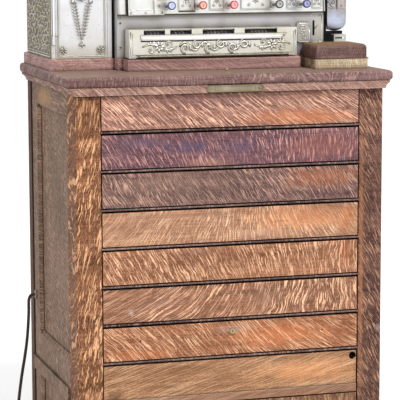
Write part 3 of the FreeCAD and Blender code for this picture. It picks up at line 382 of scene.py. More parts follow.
def stand(name, data, location=(0, 0, 0)):
    made = bpy.data.objects.new(name, data)
    bpy.context.scene.collection.objects.link(made)
    made.location = location
    return made


def settle(name, data, material, body, matrix=None):
    """Links a new piece, dresses it and puts it on its body."""
    made = stand(name, data)
    if matrix:
        made.matrix_world = matrix
    data.materials.append(material)
    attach(made, body)
    return made


SUNK = 0.15  # how far ornament reaches into its face


class Relief:
    """Ornament on a flat face, as one mesh: half-round strokes, leaves and domes."""

    def __init__(self, origin, right, up):
        self.bm = bmesh.new()
        self.origin = Vector(origin)
        self.right = Vector(right)
        self.up = Vector(up)
        self.out = self.right.cross(self.up).normalized()

    def at(self, a, b, height):
        return self.bm.verts.new((self.origin + self.right * a + self.up * b + self.out * height) * MM)

    def stroke(self, points, widths, height):
        """A rounded ridge along points; widths are half widths, one for each point."""
        rows = []
        for index, point in enumerate(points):
            before = points[max(index - 1, 0)]
            after = points[min(index + 1, len(points) - 1)]
            run = hypot(after[0] - before[0], after[1] - before[1]) or 1.0
            side = (-(after[1] - before[1]) / run, (after[0] - before[0]) / run)
            rise = height * min(1.0, widths[index] / max(widths) + 0.25)
            rows.append([self.at(point[0] + side[0] * widths[index] * share,
                                 point[1] + side[1] * widths[index] * share, level * rise - SUNK)
                         for share, level in ((1, 0), (0.7, 0.7), (0, 1), (-0.7, 0.7), (-1, 0))])
        for first, second in zip(rows, rows[1:]):
            for a, b, c, d in zip(first, first[1:], second[1:], second):
                self.bm.faces.new((a, b, c, d))
        self.bm.faces.new(rows[0][::-1])
        self.bm.faces.new(rows[-1])

    def line(self, points, width, height):
        self.stroke(points, [width] * len(points), height)

    def scroll(self, a, b, size, start, turn=1.0, width=1.0, height=1.0, coils=1.3):
        """A spiral that tightens from its start to a bud in the middle."""
        steps = max(9, round(13 * coils))
        points = []
        widths = []
        for step in range(steps + 1):
            share = step / steps
            radius = size * (1 - share) ** 0.85 + size * 0.1
            angle = start + turn * share * coils * 2 * pi
            points.append(around(a, b, radius, angle))
            widths.append(width * (0.35 + 0.65 * sin(pi * min(1.0, share * 1.1 + 0.1))))
        self.stroke(points, widths, height)
        self.dome(a, b, size * 0.22, height * 1.2)

    def leaf(self, a, b, angle, length, width, height=1.0, curl=0.5):
        """A pointed leaf that grows from (a, b) and bends by curl radians on its way."""
        points = []
        widths = []
        steps = 6
        for step in range(steps + 1):
            share = step / steps
            heading = angle + curl * share
            if points:
                a += cos(heading) * length / steps
                b += sin(heading) * length / steps
            points.append((a, b))
            widths.append(width * (0.12 + sin(pi * share ** 0.8) ** 0.9))
        self.stroke(points, widths, height)

    def dome(self, a, b, radius, height, sides=10):
        rings = []
        for share, level in ((1.0, -SUNK), (0.75, 0.66 * height)):
            rings.append([self.at(*around(a, b, radius * share, 2 * pi * k / sides), level)
                          for k in range(sides)])
        top = self.at(a, b, height)
        for k in range(sides):
            following = (k + 1) % sides
            self.bm.faces.new((rings[0][k], rings[0][following], rings[1][following], rings[1][k]))
            self.bm.faces.new((rings[1][k], rings[1][following], top))

    def rosette(self, a, b, size, petals=6, height=1.2, turned=0.0):
        for number in range(petals):
            angle = turned + 2 * pi * number / petals
            self.leaf(*around(a, b, size * 0.15, angle), angle, size * 0.85, size * 0.24, height,
                      0.25)
        self.dome(a, b, size * 0.24, height * 1.5)

    def border(self, a, b, c, d, width=1.0, height=0.8, corner=4.0):
        """A raised line round the rectangle from (a, b) to (c, d)."""
        points = []
        for x, y, start in ((c - corner, d - corner, 0.0), (a + corner, d - corner, 0.5),
                            (a + corner, b + corner, 1.0), (c - corner, b + corner, 1.5)):
            for step in range(5):
                points.append(around(x, y, corner, pi * (start + step / 8)))
        self.line(points + points[:1], width, height)

    def beads(self, b, first, last, pitch, radius, height):
        count = max(1, round((last - first) / pitch))
        for number in range(count + 1):
            self.dome(first + (last - first) * number / count, b, radius, height, 8)

    def screws(self, places, radius=2.6, height=0.9, turned=0.6):
        """Low round heads with their slots."""
        slot = asin(0.2)
        for a, b in places:
            self.dome(a, b, radius * 1.15, height * 0.35, 16)
            for half in (0, 1):
                turns = [turned + half * pi + slot + step * (pi - 2 * slot) / 8 for step in range(9)]
                low = [self.at(*around(a, b, radius, turn), 0.0) for turn in turns]
                high = [self.at(*around(a, b, radius * 0.9, turn), height) for turn in turns]
                self.bm.faces.new(high)
                for k in range(len(turns)):
                    following = (k + 1) % len(turns)
                    self.bm.faces.new((low[k], low[following], high[following], high[k]))

    def vine(self, a, b, length, size, width=1.1, height=1.2, hand=1, seed=1):
        """A wavy stem with a scroll and leaves in each bend."""
        chance = random.Random(seed)
        bends = max(1, round(length / (size * 1.5)))
        pitch = length / bends
        stem = [(a + length * share, b + hand * sin(pi * bends * share) * size * 0.22)
                for share in [step / (bends * 6) for step in range(bends * 6 + 1)]]
        self.line(stem, width * 0.8, height)
        for number in range(bends):
            side = hand * (1 if number % 2 else -1)
            x = a + (number + 0.5) * pitch
            self.scroll(x, b + side * size * 0.2, size * 0.34, -side * pi / 2, side, width,
                        height, 1.2)
            for lean in (0.5, 1.15, 1.9, 2.6):
                self.leaf(x + cos(lean) * size * 0.1, b - side * size * 0.12, -side * lean,
                          size * chance.uniform(0.34, 0.46), width * 1.5, height, side * 0.5)

    def field(self, width, tall, cell, seed=3):
        """A face closely covered with scrolls and leaves."""
        chance = random.Random(seed)
        across = round(width / cell)
        lines = round(tall / cell)
        for column in range(across):
            for row in range(lines):
                hand = 1 if (column + row) % 2 else -1
                x = (column + 0.5) * width / across + chance.uniform(-1, 1)
                y = (row + 0.5) * tall / lines + chance.uniform(-1, 1)
                start = chance.uniform(0, 2 * pi)
                self.scroll(x, y, cell * 0.4, start, hand, cell * 0.09, 1.3, 1.25)
                for number in range(4):
                    angle = start + number * 1.55 + 0.6
                    self.leaf(*around(x, y, cell * 0.33, angle), angle, cell * 0.3, cell * 0.11,
                              1.1, hand * 0.8)

    def piece(self, name, material, body="cabinet", slot_name="nickel"):
        bmesh.ops.recalc_face_normals(self.bm, faces=self.bm.faces)
        mesh = bpy.data.meshes.new(name)
        self.bm.to_mesh(mesh)
        self.bm.free()
        mesh.shade_smooth()
        return settle(name, mesh, material, body)


def face_maker(right, up=(0, 0, 1)):
    """Makes reliefs on faces that run along right and up, given their corner."""
    return lambda x, y, z: Relief((x, y, z), right, up)


front = face_maker((1, 0, 0))
left_face = face_maker((0, -1, 0))
right_face = face_maker((0, 1, 0))
back_face = face_maker((-1, 0, 0))
top_face = face_maker((1, 0, 0), (0, 1, 0))

# Sizes that part.py gives these pieces
KEY_REACH = 38.0
KEY_CAP = 6.0
KEY_RADIUS = 8.8
KEY_PITCH = 23.0
LABEL_THICKNESS = 1.5
HOUSING_PROJECTION = 12.0
HINGE = 6.0
LID_DEPTH = 38.0
PANEL_PROJECTION = 10.0
PLATE_FORWARD = 4.0
LOWER_HEIGHT = 92.4
FRONT_THICKNESS = 20.0
SLIP_BASE_HEIGHT = 20.3
SIDE_STILE = 104.0
MOULDING_PROJECTION = 8.0
NAME_PLATE_THICKNESS = 1.6
WHEEL_BEHIND = 17.0
WHEEL_RISE = 41.5
TABLET_BEHIND = 22.0
TABLET_MARGIN = 26.0
TABLET_MIDDLE = 51.0
columns = (-96.0, -28.0, 40.0, 140.0, 201.0)
levels = (15.0, 38.0, 61.0)
panel_tilt = radians(4.5)

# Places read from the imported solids
case_low, case_high = edges("main_case")
lid_low, lid_high = edges("counter_lid")
door_low, door_high = edges("tower_door")
tower_low, tower_high = edges("tower_case")
hood_low, hood_high = edges("indicator_hood")
motor_low, motor_high = edges("motor_housing")
plate_low, plate_high = edges("name_plate")
slip_low, slip_high = edges("slip_box_lid")
wheel_low, wheel_high = edges("counter_wheels")
post_low, post_high = edges("front_post_right")
side_back = edges("side_frame_left")[1].y
lid_front = case_low.y + HINGE
case_front = lid_front + LID_DEPTH
panel_foot = Vector((0.0, case_front - PANEL_PROJECTION, case_low.z + LOWER_HEIGHT))
front_y = post_low.y
floor_z = case_low.z
board_top = slip_low.z - SLIP_BASE_HEIGHT

# Finishes
# Painted shade for the dark of narrow gaps and empty screw holes
gap_and_hole_shade = (14, 12, 10)
hinge_zone = ((-170, 165), (floor_z, floor_z + 8.6), (104, 98, 82), 1.0)
nickel_plain = nickel("nickel_plain", (216, 216, 215), (196, 188, 156), 0.45, 0.34)
nickel_panel = nickel("nickel_panel", (233, 234, 233), (218, 213, 192), 0.45, 0.34, marks=(
    # painted shade in the gap left of the key housing
    ((-182.0, -180.6), (900, 1200), gap_and_hole_shade, 1.0),
    # painted shadow under and to the right of the first label
    ((-70.0, -33.0), (1019.5, 1023.2), (60, 54, 40), 0.9),
    ((-35.4, -33.2), (1019.5, 1120), (96, 88, 66), 0.7)))
nickel_cast = nickel("nickel_cast", (182, 180, 172), (156, 148, 124), 0.5, 0.45, crevice=4.0)
nickel_door = nickel("nickel_door", (240, 241, 244), (218, 210, 188), 0.3, 0.34,
                     stain=(tower_low.z - 4, tower_low.z + 34))
nickel_tower = nickel("nickel_tower", (236, 236, 240), (214, 206, 180), 0.45, 0.34, marks=(
    # painted shade on the tower's left side face
    ((tower_low.x - 1, tower_low.x + 0.5), (0, 1300), (66, 58, 42), 0.95),))
nickel_dark = nickel("nickel_dark", (208, 198, 176), (168, 154, 120), 0.6, 0.4, dirt_and_shade=DEEP_TARNISH_AND_SHADE,
                     raised=True)
nickel_lid = nickel("nickel_lid", (230, 228, 218), (212, 206, 182), 0.6, 0.42, stipple=0.9, marks=(
    # painted shadow under the sill bar
    ((-160, 151), (floor_z + 35.6, floor_z + 38.4), (50, 46, 38), 1.0), hinge_zone))
nickel_bright = nickel("nickel_bright", (226, 224, 214), (200, 192, 160), 0.35, 0.28, crevice=2.0,
                       raised=True)
door_raised = nickel("door_raised", (192, 190, 184), (164, 156, 128), 0.4, 0.42, raised=True)
lid_raised = nickel("lid_raised", (232, 230, 222), (206, 199, 172), 0.4, 0.4, raised=True)
# The wide crevice reach and the bands below the key panel paint the panel's shadow on the case.
nickel_case = nickel(
    "nickel_case", (196, 194, 198), (180, 174, 156), 0.4, 0.36, crevice=13.0,
    marks=(hinge_zone,
           # painted shadow under the key panel, fading downwards
           ((-200, 258), (floor_z + 88.5, floor_z + 92.6), (78, 72, 52), 0.75),
           ((-200, 258), (floor_z + 84.5, floor_z + 88.5), (78, 72, 52), 0.4),
           ((-200, 258), (floor_z + 80, floor_z + 84.5), (90, 84, 66), 0.2),
           # painted shade in the gap left of the key housing
           ((-185.6, -180.6), (floor_z + LOWER_HEIGHT, 1200), gap_and_hole_shade, 1.0)),
    spots=(((-130, case_front, floor_z + 82), (34, 8, 7), (120, 92, 60), 0.25),
           # painted shade in the two empty screw holes
           ((-193.2, case_front, 997.8), (3, 6, 3), gap_and_hole_shade, 1.0),
           ((-193.6, case_front, 946.8), (3.4, 6, 3.4), gap_and_hole_shade, 1.0),
           ((210, case_front, floor_z + 48), (24, 9, 30), (214, 210, 194), 0.7),
           ((244, case_front, floor_z + 56), (16, 9, 40), (210, 206, 188), 0.6)))
nickel_motor = nickel(
    "nickel_motor", (176, 174, 178), (164, 158, 154), 0.5, 0.4,
    marks=(((motor_low.x + 22, motor_high.x), (motor_low.z + 50, motor_high.z), (202, 188, 180), 0.6),),
    # painted bluish reflection low on the front
    spots=(((motor_low.x + 18, motor_low.y, motor_low.z + 22), (28, 30, 24), (206, 214, 240), 0.8),))
motor_raised = nickel("motor_raised", (198, 194, 192), (170, 166, 166), 0.5, 0.4, raised=True)
brass_plate = nickel("brass_plate", (168, 156, 138), (126, 114, 92), 0.7, 0.5, marks=(
    ((-400, 400), (plate_low.z - 1, plate_low.z + 1.3), (54, 44, 34), 0.9),
    ((-400, 400), (plate_high.z - 1.3, plate_high.z + 1), (54, 44, 34), 0.9)))
brass_bright = nickel("brass_bright", (190, 170, 124), (134, 110, 72), 0.5, 0.35)
brass_raised = nickel("brass_raised", (150, 136, 100), (96, 80, 52), 0.6, 0.5, raised=True)
enamel_white = plain("enamel_white", (255, 255, 255), (244, 242, 238), 0.35, Specular_IOR_Level=0.2)
enamel_black = plain("enamel_black", (15, 14, 16), (30, 27, 26), 0.6, Specular_IOR_Level=0.1)
paper = plain("paper", (226, 218, 192), (206, 192, 158), 0.8)
wheel_dark = plain("wheel_dark", (104, 104, 122), (84, 84, 98), 0.5, Specular_IOR_Level=0.2)
figure_white = plain("figure_white", (236, 236, 230), (214, 210, 200), 0.6)
figure_black = plain("figure_black", (24, 22, 26), (40, 36, 36), 0.6)
bakelite = plain("bakelite", (40, 26, 20), (56, 38, 28), 0.3, Coat_Weight=0.4)
cloth_cord = braid("cloth_cord", (34, 24, 20), (74, 56, 46))
clear_glass = plain("clear_glass", (235, 242, 240), (225, 236, 234), 0.04, Transmission_Weight=1.0,
                    IOR=1.46)

# Drawers from the top: dark, light and fleck colours, slopes, amount and spacing of the flecks,
# then stains of (X, height from the middle, half sizes, colour, weight)
drawer_looks = (
    ((136, 98, 94), (198, 144, 124), (252, 200, 170), (-0.9, -1.2, -1.7), 0.85, 6.0,
     ((150, -20, 150, 20, (204, 124, 78), 0.5), (-60, 24, 230, 14, (134, 98, 98), 0.4))),
    ((108, 80, 92), (148, 108, 112), (220, 166, 156), (-0.6, -0.3, 0.05), 0.65, 5.2,
     ((-190, 16, 60, 12, (92, 80, 104), 0.5), (-90, 6, 60, 16, (92, 80, 108), 0.5),
      (20, 4, 50, 18, (94, 82, 110), 0.4), (-60, -28, 70, 12, (196, 146, 124), 0.35),
      (190, 0, 120, 34, (150, 94, 82), 0.45))),
    ((108, 84, 86), (154, 118, 108), (226, 182, 158), (-0.45, -0.8, -0.6), 0.7, 4.2,
     ((-120, 0, 170, 36, (124, 102, 88), 0.3), (190, 12, 100, 26, (172, 106, 72), 0.5),
      (225, -22, 60, 14, (92, 62, 66), 0.6))),
    ((178, 124, 96), (226, 168, 132), (255, 216, 178), (1.1, 0.15, -1.0), 0.6, 3.6,
     ((-120, 24, 150, 7, (142, 100, 84), 0.55), (252, 4, 18, 36, (176, 104, 62), 0.5),
      (150, 6, 150, 30, (240, 162, 112), 0.4), (60, -20, 120, 12, (206, 164, 140), 0.3))),
    ((154, 102, 76), (206, 144, 108), (254, 202, 164), (-0.6, -0.45, 0.1), 0.7, 5.0,
     ((-70, 26, 90, 10, (136, 92, 76), 0.5), (252, 6, 14, 34, (158, 90, 60), 0.6))),
    ((144, 98, 76), (200, 140, 110), (254, 204, 166), (2.4, 0.55, -0.15), 0.75, 6.0,
     ((-217, -15, 7, 9, (214, 198, 196), 0.4), (70, 6, 60, 26, (136, 102, 84), 0.5),
      (-150, 0, 70, 16, (132, 98, 88), 0.35))),
    ((156, 96, 68), (212, 144, 104), (255, 206, 166), (-1.0, -0.8, -1.6), 0.65, 5.0,
     ((0, 18, 50, 12, (204, 174, 160), 0.35), (240, -6, 40, 26, (146, 84, 54), 0.5),
      (110, 0, 130, 30, (224, 138, 88), 0.4), (-200, -22, 90, 14, (192, 112, 72), 0.4))),
    ((160, 112, 80), (220, 166, 124), (255, 210, 166), (3.0, 3.6, 3.0), 0.45, 8.0,
     ((-252, -24, 26, 24, (84, 56, 44), 0.7), (140, -10, 110, 8, (150, 106, 76), 0.35),
      (-100, 20, 130, 6, (140, 96, 70), 0.5), (-160, -6, 60, 5, (110, 74, 56), 0.5),
      (160, 8, 140, 30, (240, 166, 112), 0.45))),
    ((120, 84, 62), (170, 126, 96), (218, 172, 138), (0.2, 0.0, -0.2), 0.5, 3.6, ()),
)
SPOT_DEPTH = 9
FIRST_DEEP_DRAWER = 8
woods = {}
for row, (dark, light, fleck, slopes, amount, spacing, stains) in enumerate(drawer_looks, start=1):
    low, high = edges("drawer_%d" % row)
    middle = (low.z + high.z) / 2
    # Deep drawers: a darker band at the foot with a painted highlight line along its top
    lip_with_highlight = ((low.z, low.z + 16.2, (128, 96, 88), 0.45),
           (low.z + 16.2, low.z + 17.2, (214, 188, 170), 0.5))
    node = "drawer_%d" % row
    woods[node] = oak(
        "oak_" + node, dark, light, fleck, "X", slopes, amount, spacing, middle,
        spots=[((x, front_y, middle + rise), (wide, SPOT_DEPTH, tall), stain, weight)
               for x, rise, wide, tall, stain, weight in stains],
        bare_behind=front_y + FRONT_THICKNESS, seed=row * 3.1,
        bands_of=lip_with_highlight if row >= FIRST_DEEP_DRAWER else (),
        closed=("XZ", "Y", front_y - SPOT_DEPTH, front_y + FRONT_THICKNESS))

board_look = dict(dark=(124, 92, 92), light=(188, 152, 146), fleck=(220, 182, 168),
                  slopes=(0.1, -0.1, 0.1), spacing=4.4, amount=0.3)
side_look = dict(dark=(120, 96, 84), light=(182, 148, 128), fleck=(222, 186, 154), grain="Z",
                 reach=700.0, slopes=(0.5, 0.9, 0.6), spacing=4.4, amount=0.5, wear=0.5)
# painted shade in the groove near the back of each side, and a paler patch on the left side
side_patch_and_groove_shade = [((hand * 330, side_back - 24, 450), (40, 36, 2400), (74, 50, 36), 0.9)
              for hand in (-1, 1)] + [((-330, 60, 836), (30, 90, 26), (206, 160, 96), 0.35)]
side_frame_look = dict(seed=4.8, spots=side_patch_and_groove_shade, cross=(post_high.y, side_back - SIDE_STILE),
                       **side_look)
slip_end = (((slip_low.x, slip_low.y + 60, slip_low.z), (9, 110, 60), (80, 52, 36), 0.7),)
# The posts' faces toward the drawers get painted shade.
post_gap_shade = ("X", "X", -300.0, 300.0)
wood_looks = {
    "front_post_left": (
        ((108, 68, 48), (182, 124, 92), (248, 190, 142), "X", (0.2, 0.3, 0.2), 0.7, 5.0, 430.0),
        dict(seed=1.7, closed=post_gap_shade,
             spots=(((-315, front_y, 232), (9, 9, 20), (50, 30, 22), 0.85),))),
    "front_post_right": (
        ((84, 60, 58), (142, 104, 92), (222, 170, 138), "X", (-0.5, -0.6, -0.5), 0.5, 5.0, 430.0),
        dict(seed=5.3, wear=0.6, closed=post_gap_shade,
             spots=(((324, front_y, 352), (7, 9, 9), (196, 184, 190), 0.35),
                    ((284, front_y, 480), (7, 9, 420), (184, 122, 84), 0.5)))),
    "side_panels": ((), dict(seed=8.1, **side_look)),
    "side_frame_left": ((), side_frame_look),
    "side_frame_right": ((), side_frame_look),
    "back_panel": (
        ((100, 72, 56), (144, 112, 90), (176, 142, 118), "Z", (0.4, 0.2, -0.3), 0.4, 7.0),
        dict(reach=700.0, seed=2.9)),
    "top_board": ((), dict(seed=4.4, top=((124, 104, 84), 0.5), **board_look)),
    "cornice_moulding": (
        ((134, 98, 88), (196, 156, 142), (236, 194, 172), "X", (-1.2, -1.6, -1.2), 0.5, 4.0, 871.0),
        dict(seed=6.6)),
    "drawer_rails": (
        ((84, 62, 64), (170, 142, 134), (206, 180, 160), "X", (0.0, 0.0, 0.0), 0.35, 9.0, 500.0),
        dict(seed=3.3, closed=("Z", "Y", front_y - 20, front_y + 60))),
    "drawer_runners": (
        ((140, 104, 70), (176, 138, 98), (196, 160, 120), "Y", (0.0, 0.0, 0.0), 0.3, 6.0),
        dict(seed=7.2)),
    "base_plinth": ((), dict(seed=9.4, **board_look)),
    "register_plinths": (
        ((158, 118, 116), (234, 190, 180), (252, 210, 192), "X", (-1.5, -2.0, -1.5), 0.35, 3.6,
         912.0), dict(seed=1.1)),
    "slip_box_base": (
        ((218, 180, 140), (255, 240, 206), (255, 244, 220), "X", (0.4, 0.2, 0.0), 0.35, 5.0, 910.0,
         120.0), dict(seed=2.2, spots=slip_end)),
    "slip_box_lid": (
        ((116, 88, 84), (166, 132, 126), (180, 150, 140), "X", (0.3, 0.0, 0.2), 0.18, 5.0, 935.0,
         120.0), dict(seed=5.9, spots=slip_end, top=((120, 92, 52), 0.9))),
}
for node, (values, more) in wood_looks.items():
    woods[node] = oak("oak_" + node, *values, **more)

metals = {
    "tower_case": nickel_tower, "tower_door": nickel_door, "main_case": nickel_case,
    "counter_lid": nickel_lid, "key_panel": nickel_panel, "indicator_hood": nickel_cast,
    "motor_housing": nickel_motor, "slip_guide": nickel_plain, "name_plate": brass_plate,
    "lid_rest_pin": brass_bright, "lock_barrel": brass_bright, "lock_plug": brass_plate,
    "cord_gland": brass_plate, "motor_rotor": enamel_black, "motor_bracket": enamel_black,
    "indicator_tablets": enamel_white, "indicator_glass": clear_glass, "ticket_roll": paper,
    "counter_wheels": wheel_dark, "cord_plug": bakelite,
}
# Key colours by column: the cap's face, and its ring
key_colours = (((206, 214, 238), (88, 98, 158)), ((240, 190, 176), (190, 92, 84)),
               ((250, 180, 180), (214, 88, 98)), ((184, 184, 178), (84, 84, 82)),
               ((168, 170, 206), (74, 74, 124)))
key_looks = [keytop("key_%d" % number, face, rim, x)
             for number, ((face, rim), x) in enumerate(zip(key_colours, columns), start=1)]
for name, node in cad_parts.items():
    look = woods.get(name) or metals.get(name)
    if look is None and name.startswith("key_"):
        look = key_looks[int(name[4]) - 1]
    node.data.materials.clear()
    node.data.materials.append(look or nickel_plain)

# Tower: pendant and corner rosettes on the door, close scrollwork on the side
DOOR_MARGIN = 9.6
TOWER_WIDE = 130
TOWER_DEEP = 243
door = front(tower_low.x + DOOR_MARGIN, tower_low.y, door_low.z)
door_wide = tower_high.x - tower_low.x - 2 * DOOR_MARGIN
door_tall = door_high.z - door_low.z
door.border(5, 5, door_wide - 5, door_tall - 5, 1.1, 0.8, 3.0)
centre = door_wide / 2
for pair in range(11):
    level = 47 + pair * 6.6
    spread = 3.2 + pair * 1.15
    size = 6.2 + pair * 0.35
    for side in (-1, 1):
        x = centre + side * spread
        door.leaf(x, level, pi / 2 - side * 0.95, size, 1.7, 1.6, -side * 0.5)
        door.leaf(x, level, pi / 2 + side * 0.75, size * 0.8, 1.5, 1.4, side * 0.4)
for side in (-1, 1):
    door.line([(centre + side * (2.4 + 1.15 * step), 46 + 6.6 * step) for step in range(12)], 0.7, 0.8)
    door.dome(centre + side * 19, 118, 5.0, 2.4, 14)
    door.scroll(centre + side * 13, 140, 9, pi / 2, side, 1.6, 1.8, 1.4)
    for corner_b in (17, door_tall - 17):
        door.rosette(centre + side * (centre - 16), corner_b, 8.5, 6, 1.6, 0.3)
        for number in range(3):
            angle = (0.6 + number * 0.9) if side < 0 else (pi - 0.6 - number * 0.9)
            door.leaf(centre + side * (centre - 12), corner_b, angle, 11, 1.7, 1.2, side * 0.4)
door.dome(centre, 42, 3.0, 2.0, 14)
for lean in (0.0, 0.9, -0.9):
    door.leaf(centre, 31, lean - pi / 2, 9, 2.0, 1.4, 0.0)
door.leaf(centre, 37, -pi / 2, 6, 1.0, 1.0, 0.0)
door.rosette(centre, 128, 11, 8, 2.0)
door.rosette(centre, 158, 8, 6, 1.8)
door.vine(14, 214, door_wide - 28, 16, 1.2, 1.2, 1, 5)
door.piece("door_relief", door_raised, "tower_door")

SIDE_STRETCH = 1.7
SIDE_MARGIN = 12
side_wide = tower_high.y - tower_low.y - 8
side_tall = tower_high.z - tower_low.z
tower_side = left_face(tower_low.x, tower_high.y, tower_low.z)
tower_side.border(4, 4, side_wide - 4, side_tall - 4, 1.6, 1.2, 5.0)
tower_side.border(9, 9, side_wide - 9, side_tall - 9, 0.9, 0.8, 4.0)
tower_side.origin += Vector((0, -SIDE_MARGIN, SIDE_MARGIN))
tower_side.right *= SIDE_STRETCH
tower_side.field((side_wide - 2 * SIDE_MARGIN) / SIDE_STRETCH, side_tall - 2 * SIDE_MARGIN, 19.0)
tower_side.piece("tower_side_relief", nickel_dark)

tower_top = top_face(tower_low.x, tower_low.y, tower_high.z)
tower_top.border(6, 6, TOWER_WIDE - 6, TOWER_DEEP - 6, 1.2, 1.0, 8.0)
tower_top.rosette(65, 121, 34, 8, 1.4)
tower_top.screws([(a, b) for b in (14, TOWER_DEEP - 14) for a in (14, TOWER_WIDE - 14)])
tower_top.piece("tower_top_relief", nickel_cast)

tower_back = back_face(tower_high.x, tower_high.y, tower_low.z)
tower_back.border(7, 7, TOWER_WIDE - 7, side_tall - 7, 1.2, 0.9, 6.0)
tower_back.screws([(a, b) for a in (13, TOWER_WIDE - 13) for b in (13, 120, side_tall - 13)])
tower_back.piece("tower_back_relief", nickel_cast)

# Counter lid: raised border, leafwork either side, and a plain scroll band in the middle
lid = front(lid_low.x, lid_front, floor_z + 2.0)
lid_wide = lid_high.x - lid_low.x
for inset, top, width, height in ((3, 54, 1.4, 1.0), (7, 51, 0.7, 0.7)):
    lid.line([(inset, top), (inset, inset), (lid_wide - inset, inset), (lid_wide - inset, top)],
             width, height)
lid.vine(28, 23, 74, 26, 1.7, 2.0, 1, 2)
lid.vine(272, 24, 80, 26, 1.7, 2.0, -1, 4)
lid.rosette(65, 23, 13, 7, 2.2)
lid.rosette(312, 24, 13, 7, 2.2)
lid.scroll(338, 43, 6, 0.5, 1, 1.2, 1.4)
lid.line([(108 + 5 * step, 23 + 9 * sin(step * 0.72)) for step in range(32)], 2.2, 2.2)
for number in range(6):
    side = 1 if number % 2 else -1
    lid.scroll(121 + number * 26, 23 + side * 4, 10, side * pi / 2, side, 2.7, 2.6, 1.2)
    lid.leaf(131 + number * 26, 23 - side * 3, side * 1.2, 13, 3.0, 2.4, side * 0.7)
lid.piece("lid_relief", lid_raised, "counter_lid")

sill = front(0, lid_front - 2.5, floor_z)
sill.line([(-157.0, 42.5), (148.0, 42.5)], 3.9, 0.9)
sill.piece("sill_bar", enamel_white, "counter_lid", "enamel")


# Figures on the counter wheels
def figures(name, text, size, matrix, material, body, extrude=0.15):
    data = bpy.data.curves.new(name, "FONT")
    data.body = text
    data.size = size * MM
    data.extrude = extrude * MM
    data.align_x = data.align_y = "CENTER"
    settle(name, data, material, body, matrix=matrix)


def shift(x, y, z):
    return Matrix.Translation(Vector((x, y, z)) * MM)


WHEEL_TURN = 0.9
wheel_radius = (wheel_high.y - wheel_low.y) / 2
upright = Matrix.Rotation(pi / 2, 4, "X")
windows = ((-130.0, "2 0 4 7"), (-72.5, "6 1 3"), (9.5, "5 0 8 2 7 1"), (103.0, "9 4 0 3 6"))
for window, (x, text) in enumerate(windows):
    for step in range(10):
        turned = "".join(c if c == " " else str((int(c) + step) % 10) for c in text)
        place = (shift(x, case_front - WHEEL_BEHIND, floor_z + WHEEL_RISE)
                 @ Matrix.Rotation(step * pi / 5 - WHEEL_TURN, 4, "X")
                 @ shift(0, -wheel_radius, 0) @ upright)
        figures("wheel_%d_%d" % (window, step), turned, 10.0, place, figure_white, "counter_wheels")

# Key panel: labels, housing and keytops
panel_up = (0.0, sin(panel_tilt), cos(panel_tilt))


def panel_face(x, forward):
    """Relief on the tilted key panel, forward of its face."""
    made = Relief(panel_foot + Vector((x, 0, 0)), (1, 0, 0), panel_up)
    made.origin = made.origin + made.out * forward
    return made


labels = ((-70.0, -35.0), (-2.0, 30.0), (67.0, 134.0), (170.0, 192.0), (227.0, 249.0))
for number, (left, right) in enumerate(labels, start=1):
    label = panel_face(left, LABEL_THICKNESS)
    wide = right - left
    label.border(1.6, 8, wide - 1.6, 92, 0.8, 0.7, 2.5)
    for level in (26, 50, 74):
        label.rosette(wide / 2, level, min(8.0, wide * 0.3), 6, 1.1, 0.4)
        for side in (-1, 1):
            for hand in (1, -1):
                label.scroll(wide / 2 + side * wide * 0.24, level - hand * 10, 3.4,
                             hand * pi / 2, hand * side, 0.7, 0.9)
    label.piece("label_relief_%d" % number, nickel_cast if number > 1 else nickel_bright)

housing = panel_face(-181.0, HOUSING_PROJECTION)
housing.border(2.5, 8, 52, 96, 0.9, 0.7, 4.0)
housing.line([(55, -1), (55, 98)], 0.8, 0.7)
housing.vine(66, 50, 1, 14, 0.9, 0.9, 1, 8)
for level in (16, 32, 66, 82):
    housing.rosette(66, level, 5.5, 6, 1.0)
housing.screws(((5, 2), (37, 2), (72, 2), (5, 93), (72, 93)), 2.4)
housing.piece("housing_relief", nickel_bright)

RING_STEPS = 24
RING_RADIUS = KEY_RADIUS - 1.4
for column, x in enumerate(columns, start=1):
    rim_material = plain("key_rim_%d" % column, key_colours[column - 1][1], None, 0.4,
                         Specular_IOR_Level=0.2)
    for row, level in enumerate(levels, start=1):
        body = "key_%d_%d" % (column, row)
        ring = panel_face(x, KEY_REACH + KEY_CAP)
        ring.line([around(0, level, RING_RADIUS, 2 * pi * k / RING_STEPS)
                   for k in range(RING_STEPS + 1)], 1.2, 0.7)
        ring.piece("key_ring_%d_%d" % (column, row), rim_material, body, None)
        face = (panel_foot + Vector((x, 0, 0)) + Vector(panel_up) * level
                + ring.out * (KEY_REACH + KEY_CAP + 0.1))
        figures("key_figure_%d_%d" % (column, row), str((row - 1) * 5 + column), 8.5,
                shift(*face) @ Matrix.Rotation(-panel_tilt, 4, "X") @ upright, figure_black, body,
                0.12)

# Case: right-hand plates, side, back
lock_plate = front(195.0, case_front - PLATE_FORWARD, floor_z + 28.0)
lock_plate.border(2.5, -1, 28.5, 38.5, 0.9, 0.7, 4.0)
lock_plate.scroll(15, 27, 8, pi, -1, 1.5, 1.3, 1.2)
lock_plate.scroll(17, 12, 6, 0.0, -1, 1.4, 1.3, 1.2)
for angle in (0.4, 1.3, 2.2, 3.1):
    lock_plate.leaf(15, 20, angle, 9, 1.7, 1.2, 0.5)
lock_plate.piece("lock_plate_relief", nickel_bright)

slot_plate = front(case_low.x, case_front, floor_z)
slot_plate.border(430, 26, 453, 88, 0.8, 0.6, 4.0)
slot_plate.screws(((449, 84), (449, 14), (5, 84), (5, 20)), 2.2, 0.8)
slot_plate.piece("slot_plate_relief", nickel_bright)
# The slit is a black stroke: painted shade inside the opening.
slit = front(236.5, case_front, floor_z + 55.0)
slit.stroke([(0, 0), (3, 2.6), (7.5, 8)], [1.2, 1.0, 0.5], 0.5)
slit.piece("slot_slit", enamel_black, slot_name=None)

